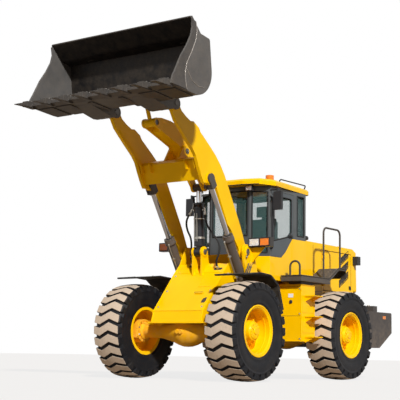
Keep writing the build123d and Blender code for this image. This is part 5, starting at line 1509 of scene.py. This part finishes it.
# %% Wheel, levers, console
column_head = Vector((0.030, 0, 2.090))
column = (column_head - Vector((0.160, 0, 1.520))).normalized()
grip = Shape()
u = Vector((0, 1, 0))
v = column.cross(u)
hub = column_head + column * 0.014
ring = [hub + (u * cos(t) + v * sin(t)) * 0.186 for t in [2 * pi * k / 48 for k in range(49)]]
grip.tube(ring, 0.0175, bend=0, sides=12)
grip.turned([(0.0, 0.050), (0.038, 0.046), (0.048, 0.034), (0.050, 0.016)], column_head, column, 28)
for t in (pi / 2, pi / 2 + 2.2, pi / 2 - 2.2):
    grip.bar(hub + (u * cos(t) + v * sin(t)) * 0.04 + column * 0.012,
             hub + (u * cos(t) + v * sin(t)) * 0.178, 0.012, 8)
grip.bar(hub + u * 0.186, hub + u * 0.186 + column * 0.045, 0.014, 12)
grip.turned([(0.0, 0.050), (0.016, 0.046), (0.020, 0.034), (0.014, 0.018)], hub + u * 0.170, column, 16)
grip.piece("wheel_grip", "rear_chassis", black_plastic)
levers, knobs = Shape(), Shape()
for x, y, lean in ((-0.16, -0.35, 0.03), (-0.16, -0.41, 0.03), (-0.24, -0.38, -0.01)):
    levers.turned([(0.026, 0.0), (0.022, 0.010), (0.024, 0.018), (0.017, 0.028), (0.019, 0.036),
                   (0.010, 0.050)], (x, y, 2.0095), (0, 0, 1), 18)
    knobs.bar((x, y, 2.055), (x + lean, y, 2.150), 0.005, 8)
    knobs.turned([(0.008, -0.004), (0.016, 0.008), (0.019, 0.028), (0.014, 0.044), (0.0, 0.050)],
                 (x + lean, y, 2.148), (lean, 0, 0.1), 16)
levers.piece("lever_gaiters", "rear_chassis", rubber)
knobs.piece("lever_knobs", "rear_chassis", black_plastic)
dash = Shape()
dash.plate([(0.235, 1.972), (0.235, 2.140), (0.150, 2.140), (0.118, 2.085), (0.112, 1.972)], -0.185,
           0.185, 0.012)
dash.piece("dashboard", "rear_chassis", black_plastic)
dials = Shape()
for y in (-0.12, -0.04, 0.04, 0.12):
    dials.turned([(0.028, 0.0), (0.028, 0.004), (0.024, 0.006), (0.0, 0.006)], (0.132, y, 2.112),
                 (-0.86, 0, 0.5), 24)
dials.piece("dials", "rear_chassis", pale_lens)
arms = Shape()
for sign in (1, -1):
    low, high = span(sign, 0.255, 0.315)
    arms.box((-0.590, low, 2.095), (-0.290, high, 2.135), 0.014)
    arms.tube([(-0.575, sign * 0.225, 2.02), (-0.575, sign * 0.285, 2.05), (-0.560, sign * 0.285, 2.10)],
              0.012, 0.03, 8)
arms.piece("seat_arms", "rear_chassis", black_plastic)
print("cab furnished")

# %% [markdown]
# ## Hood, grille and rear end
#
# The hood is pressed sheet over the engine. Its doors are told from it by dark seams and latches, the
# slanted openings are backed by fine mesh in a black frame, and the rear grille has a core behind it.
# Seams are thin dark strips along the real gaps. Louvres and radiator fins are one small form copied in
# a row.

# %% Air slots with mesh
hood_half, slot_count, slot_pitch = 0.560, 3, 0.170
slot_length, slot_height, slot_fall = 0.300, 0.110, 0.170
slot_front, slot_foot = -2.330, 1.630
bars_in_slot, strips_in_slot = 5, 9
for label, sign in both_sides:
    leaf = f"hood_door_leaf_{label}"
    # Painted shade: a flat black sheet just behind the air slots stands for the shaded engine bay seen
    # through them.
    back = Shape()
    low, high = span(sign, 0.5365, 0.5378)
    back.box((-2.425, low, 1.500), (-2.000, high, 1.990), 0.0)
    back.piece(f"slot_painted_shade_{label}", leaf, deck_black)
    frames, slats = Shape(), Shape()
    for slot_index in range(slot_count):
        x, z = slot_front, slot_foot + slot_index * slot_pitch
        corners = [(x, z), (x, z + slot_height), (x + slot_length, z + slot_height - slot_fall),
                   (x + slot_length, z - slot_fall)]
        y = sign * (hood_half - 0.001)
        frames.outline([(x, y, z) for x, z in corners], 0.006)
        for step in range(1, bars_in_slot + 1):
            rise = slot_height * step / (bars_in_slot + 1)
            start = (x, sign * 0.549, z + rise)
            end = (x + slot_length, sign * 0.549, z - slot_fall + rise)
            slats.bar(start, end, 0.0045)
        for step in range(1, strips_in_slot + 1):
            share = step / (strips_in_slot + 1)
            along, base = x + slot_length * share, z - slot_fall * share
            slats.bar((along, sign * 0.5485, base), (along, sign * 0.5485, base + slot_height), 0.0025)
    frames.piece(f"slot_frames_{label}", leaf, deck_black)
    slats.piece(f"slot_mesh_{label}", leaf, ballast)
    seams = Shape()
    y = sign * (hood_half - 0.0015)
    x0, x1, z0, z1 = -2.431, -1.509, 1.389, 2.021
    seams.outline([(x0, y, z0), (x1, y, z0), (x1, y, z1), (x0, y, z1)], 0.0028)
    seams.piece(f"door_edge_{label}", leaf, deck_black)
    latch = Shape()
    low, high = span(sign, 0.557, 0.566)
    latch.box((-2.418, low, 1.440), (-2.358, high, 1.500), 0.004)
    latch.turned([(0.018, 0.008), (0.018, 0.014), (0.012, 0.016), (0.0, 0.016)],
                 (-2.388, sign * 0.557, 1.470), (0, sign, 0), 20)
    latch.bar((-2.400, sign * 0.572, 1.458), (-2.376, sign * 0.572, 1.482), 0.005, 8)
    latch.piece(f"hood_latch_{label}", leaf, black_plastic)
print("air slots:", slot_count, "a side")

# %% Hood seams, handles, louvres, exhaust and air cleaner
seams = Shape()
for sign in (1, -1):
    y = sign * (hood_half + 0.0002)
    for x in (-1.440, -1.180):
        seams.bar((x, y, 1.19), (x, y, 2.085), 0.0024)
    seams.bar((-0.905, y, 1.36), (-1.440, y, 1.36), 0.0024)
for x in (-1.440, -2.460):
    seams.bar((x, -0.515, 2.1255), (x, 0.515, 2.1255), 0.0024)
seams.piece("hood_seams", "rear_chassis", deck_black)
tops = Shape()
for sign in (1, -1):
    for x in (-1.05, -2.28):
        tops.staple((x - 0.05, sign * 0.42, 2.118), (x + 0.05, sign * 0.42, 2.118), (0, 0, 0.032), 0.009,
                    0.03)
for y in (-0.30, 0.30):
    tops.box((-2.20, y - 0.09, 2.1245), (-1.60, y + 0.09, 2.130), 0.004)
tops.piece("hood_handles", "rear_chassis", body_yellow)
louvre = Shape()
louvre.plate([(-2.18, 2.1295), (-2.165, 2.140), (-2.150, 2.1295)], -0.37, -0.23, 0.001)
row = grown(finished(louvre.mesh, "louvre"), in_a_row, deck_black, Count=11, Step=(0.054, 0, 0))
piece_from(row, "hood_louvres_right", "rear_chassis", deck_black)
mirrored = row.copy()
for vertex in mirrored.vertices:
    vertex.co.y = -vertex.co.y
mirrored.flip_normals()
piece_from(mirrored, "hood_louvres_left", "rear_chassis", deck_black)
stack = Shape()
stack.turned([(0.052, 0.0), (0.052, 0.015), (0.044, 0.020), (0.040, 0.024), (0.040, 0.190),
              (0.036, 0.196), (0.034, 0.190), (0.034, 0.020), (0.0, 0.020)], (-1.320, -0.300, 2.1255),
             (-0.08, 0, 1), 32)
stack.piece("exhaust_stub", "rear_chassis", worn_steel)
cap = Shape()
cap.turned([(0.060, 0.0), (0.060, 0.050), (0.090, 0.060), (0.095, 0.090), (0.080, 0.115), (0.0, 0.128)],
           (-1.300, 0.300, 2.1255), (0, 0, 1), 36)
cap.piece("air_cleaner_cap", "rear_chassis", black_plastic)
print("hood top dressed")

# %% Rear grille core, lamps and lenses
core = Shape()
core.box((-2.584, -0.40, 1.475), (-2.580, 0.40, 1.965), 0.0)
core.piece("radiator_core", "rear_grille_leaf", deck_black)
fins = Shape()
fins.box((-2.592, -0.370, 1.500), (-2.586, -0.366, 1.945), 0.0)
row = grown(finished(fins.mesh, "fin"), in_a_row, worn_steel, Count=47, Step=(0, 0.016, 0))
piece_from(row, "radiator_fins", "rear_grille_leaf", worn_steel)
catch = Shape()
catch.box((-2.640, -0.405, 1.690), (-2.626, -0.360, 1.760), 0.004)
catch.turned([(0.016, 0.0), (0.016, 0.006), (0.0, 0.006)], (-2.640, -0.382, 1.725), (-1, 0, 0), 18)
catch.piece("grille_catch", "rear_grille_leaf", black_plastic)
for label, sign in both_sides:
    low, high = span(sign, 0.572, 0.640)
    for kind, z, colour in (("tail", 1.935, red_lens), ("turn", 1.870, amber_lens)):
        lens = Shape().box((-2.6035, low, z), (-2.5985, high, z + 0.055), 0.002)
        lens.piece(f"{kind}_lens_{label}", "rear_chassis", colour)
bezel = Shape()
for sign in (1, -1):
    low, high = span(sign, 0.561, 0.649)
    bezel.box((-2.6005, low, 1.862), (-2.595, high, 1.998), 0.003)
bezel.piece("tail_bezels", "rear_chassis", black_plastic)
weights = Shape()
for sign in (1, -1):
    weights.bar((-3.20, sign * 0.30, 1.1905), (-2.50, sign * 0.30, 1.1905), 0.003)
weights.bar((-3.277, -0.86, 0.80), (-3.277, 0.86, 0.80), 0.003)
weights.piece("ballast_seams", "rear_chassis", deck_black)
plates = Shape()
for sign in (1, -1):
    low, high = span(sign, 0.878, 0.8825)
    plates.box((-3.05, low, 0.98), (-2.95, high, 1.03), 0.001)
plates.piece("side_reflectors", "rear_chassis", amber_lens)
print("rear end dressed")

# %% [markdown]
# ## Lamps, decks, fenders, boxes and ballast
#
# Each head lamp shines through a faceted clear lens inboard, with an amber turn lens outboard. The
# lens is a thin shell over a bright bowl broken into facets, which is what makes a real lamp sparkle.
# Walkways carry raised bars for grip, mudguards end in a rolled edge, and the steps have teeth.

# %% Head lamps
def window_frame(shape, x, y_span, z_span, width, proud):
    """Four bars round an opening on a face that looks along x."""
    (y0, y1), (z0, z1) = sorted(y_span), z_span
    inner_low, inner_high = z0 + width, z1 - width
    bars = (((y0, z0), (y1, inner_low)), ((y0, inner_high), (y1, z1)),
            ((y0, inner_low), (y0 + width, inner_high)), ((y1 - width, inner_low), (y1, inner_high)))
    for low, high in bars:
        shape.box((x, *low), (x + proud, *high), 0.002)


lamp_paint = two_tone("lamp paint", yellow, (0.020, 0.020, 0.022),
                      [(0.5, 1.866), (0.6, 1.866), (0.8, 1.866)])
nodes["head_lamps"].data.materials[0] = lamp_paint
lamp_face, lamp_low, lamp_high = 0.750, 1.876, 1.994
for label, sign in both_sides:
    bezel, bowl, clear, amber = Shape(), Shape(), Shape(), Shape()
    inboard, turn = (sign * 0.630, sign * 0.815), (sign * 0.815, sign * 0.980)
    for opening in (inboard, turn):
        window_frame(bezel, lamp_face, opening, (lamp_low, lamp_high), width=0.009, proud=0.014)
    for i in range(9):
        for j in range(6):
            centre = (lamp_face + 0.0005, sign * (0.645 + 0.019 * i), lamp_low + 0.018 + 0.0165 * j)
            bowl.turned([(0.0, 0.0), (0.0125, 0.0), (0.0, 0.006)], centre, (1, 0, 0), 4)
    low, high = sorted((inboard[0] + sign * 0.008, inboard[1] - sign * 0.008))
    clear.box((lamp_face + 0.008, low, lamp_low + 0.008), (lamp_face + 0.011, high, lamp_high - 0.008),
              0.001)
    low, high = sorted((turn[0] + sign * 0.008, turn[1] - sign * 0.008))
    amber.box((lamp_face + 0.0005, low, lamp_low + 0.008), (lamp_face + 0.008, high, lamp_high - 0.008),
              0.001)
    for i in range(9):
        y = low + 0.012 + (high - low - 0.024) * i / 8
        amber.bar((lamp_face + 0.008, y, lamp_low + 0.012), (lamp_face + 0.008, y, lamp_high - 0.012),
                  0.0035, 8)
    bezel.piece(f"head_lamp_bezel_{label}", "front_chassis", black_plastic)
    bowl.piece(f"head_lamp_bowl_{label}", "front_chassis", lamp_bowl, smooth=0)
    clear.piece(f"head_lamp_lens_{label}", "front_chassis", clear_lens)
    amber.piece(f"turn_lamp_lens_{label}", "front_chassis", amber_lens)
print("head lamps glazed")

# %% Decks and mudguards
def on_slope(a, b, share):
    """A point share of the way from a to b."""
    return a[0] + (b[0] - a[0]) * share, a[1] + (b[1] - a[1]) * share


deck_top = [(-0.130, 1.5205), (-0.930, 1.5205), (-1.225, 1.6975), (-1.470, 1.7005)]
for label, sign in both_sides:
    grip, edge = Shape(), Shape()
    low, high = span(sign, 0.66, 0.97)
    for a, b in zip(deck_top, deck_top[1:]):
        run = ((b[0] - a[0]) ** 2 + (b[1] - a[1]) ** 2) ** 0.5
        rows = int(run / 0.035)
        for k in range(rows):
            x, z = on_slope(a, b, (k + 0.5) / rows)
            for first in (0, 1, 2):
                start = low + 0.104 * first + (0.02 if k % 2 else 0.0)
                grip.bar((x, start, z), (x, start + 0.075, z), 0.0035)
    outer = sign * 0.990
    edge.tube([(-0.100, outer, 1.520), (-0.930, outer, 1.520), (-1.230, outer, 1.700),
               (-1.480, outer, 1.700)], 0.009, 0.03, 8)
    edge.bar((-0.098, sign * 0.645, 1.520), (-0.098, sign * 0.985, 1.520), 0.008, 8)
    flap = [(-1.470, 1.700), (-1.500, 1.698), (-1.512, 1.650), (-1.508, 1.560), (-1.496, 1.560),
            (-1.498, 1.650), (-1.490, 1.680), (-1.470, 1.686)]
    edge.plate(flap, *span(sign, 0.665, 0.965), 0.002)
    grip.piece(f"deck_grip_{label}", "rear_chassis", ballast)
    edge.piece(f"deck_edge_{label}", "rear_chassis", deck_black)
    rim = Shape()
    arch = [(1.560, 1.430), (1.170, 1.470), (0.900, 1.455), (0.700, 1.330), (0.575, 1.000)]
    for y in (0.622, 1.098):
        rim.tube([(x, sign * y, z - 0.008) for x, z in arch], 0.011, 0.12, 8)
    rim.bar((1.562, sign * 0.622, 1.422), (1.562, sign * 1.098, 1.422), 0.010, 8)
    rim.piece(f"fender_rim_{label}", "front_chassis", rubber)
    bolts(f"fender_bolts_{label}", "front_chassis",
          [(x, sign * 0.66, z) for x, z in ((1.30, 1.4575), (1.02, 1.4625))], (0, 0, 1), radius=0.011,
          height=0.008, material=zinc)
    feet = Shape()
    for x, y, z in ((-0.912, 0.900, 1.520), (-1.430, 0.900, 1.700), (-0.150, 0.770, 1.520),
                    (-0.150, 0.935, 1.520)):
        feet.turned([(0.0305, 0.0), (0.0305, 0.008), (0.0175, 0.012), (0.0155, 0.022)], (x, sign * y, z),
                    (0, 0, 1), 24)
    feet.piece(f"rail_feet_{label}", "rear_chassis", dark_brown)
print("decks and mudguards dressed")

# %% Boxes, steps and ballast
box_front, box_side = -0.210, 0.930
for label, sign in both_sides:
    skin, dark, plate_blank = Shape(), Shape(), Shape()
    y = sign * (box_side + 0.0004)
    low, high = sorted((y, y + sign * 0.004))
    skin.box((-0.575, low, 0.985), (-0.235, high, 1.190), 0.002)
    skin.box((-0.575, low, 0.690), (-0.235, high, 0.895), 0.002)
    for z in (1.3850, 0.5750):
        skin.bar((-0.596, sign * 0.932, z), (-0.214, sign * 0.932, z), 0.006, 8)
    skin.staple((-0.2095, sign * 0.42, 1.392), (-0.2095, sign * 0.42, 0.568), (0, sign * 0.505, 0), 0.005,
                0.02, 8)
    skin.turned([(0.042, 0.0), (0.042, 0.012), (0.034, 0.018), (0.0, 0.018)],
                (box_front, sign * 0.600, 0.72), (1, 0, 0), 28)
    for a, b in (((0.430, 1.360), (0.905, 1.360)), ((0.430, 0.935), (0.905, 0.935))):
        dark.bar((box_front + 0.0005, sign * a[0], a[1]), (box_front + 0.0005, sign * b[0], b[1]), 0.0024)
    dark.turned([(0.026, 0.0), (0.026, 0.010), (0.020, 0.016), (0.0, 0.018)],
                (box_front, sign * 0.750, 1.140), (1, 0, 0), 28)
    low, high = span(sign, 0.705, 0.790)
    plate_blank.box((box_front + 0.0002, low, 1.205), (box_front + 0.0025, high, 1.262), 0.001)
    skin.piece(f"box_panels_{label}", "rear_chassis", body_yellow)
    dark.piece(f"box_seams_{label}", "rear_chassis", black_plastic)
    plate_blank.piece(f"blank_plate_{label}", "rear_chassis", pale_lens)
    bolts(f"box_bolts_{label}", "rear_chassis",
          [(box_front + 0.0005, sign * a, z) for a in (0.44, 0.895) for z in (1.33, 0.965, 0.60)],
          (1, 0, 0), radius=0.009, height=0.007, material=zinc)
    teeth_row = Shape()
    for level in (0.620, 0.918, 1.220):
        for k in range(11):
            x = -0.535 + 0.0225 * k
            teeth_row.bar((x, sign * 0.945, level + 0.0145), (x, sign * 1.085, level + 0.0145), 0.003)
        teeth_row.bar((-0.545, sign * 1.0935, level + 0.007), (-0.300, sign * 1.0935, level + 0.007),
                      0.0065, 8)
    teeth_row.piece(f"step_grip_{label}", "rear_chassis", body_yellow)
tow = Shape()
tow.turned([(0.0, -0.35), (0.0235, -0.345), (0.0235, 0.0), (0.040, 0.002), (0.040, 0.014), (0.0, 0.014)],
           (-3.205, 0, 1.0900), (0, 0, 1), 28)
tow.staple((-3.205, -0.03, 1.10), (-3.205, 0.03, 1.10), (0, 0, 0.035), 0.006, 0.02, 8)
tow.piece("tow_pin", "rear_chassis", zinc)
spots = [(-2.78, y, 1.1905) for y in (-0.7, -0.35, 0.0, 0.35, 0.7)]
bolts("ballast_bolts", "rear_chassis", spots, (0, 0, 1), radius=0.024, height=0.016, material=worn_steel)
hooks = Shape()
for sign in (1, -1):
    hooks.staple((-3.06, sign * 0.55, 1.085), (-2.96, sign * 0.55, 1.085), (0, 0, 0.05), 0.013, 0.035)
hooks.piece("ballast_lifting_eyes", "rear_chassis", ballast)
bands = Shape()
for y in (-0.30, 0.30):
    bands.bar((-3.2765, y, 0.765), (-3.2765, y, 1.060), 0.0035)
bands.piece("ballast_joints", "rear_chassis", deck_black)
print("boxes, steps and ballast dressed")

# %% [markdown]
# ## Sizes
#
# The finished model keeps the CAD model's size, but for bolt heads, beads and plates that stand out
# by some millimetres.
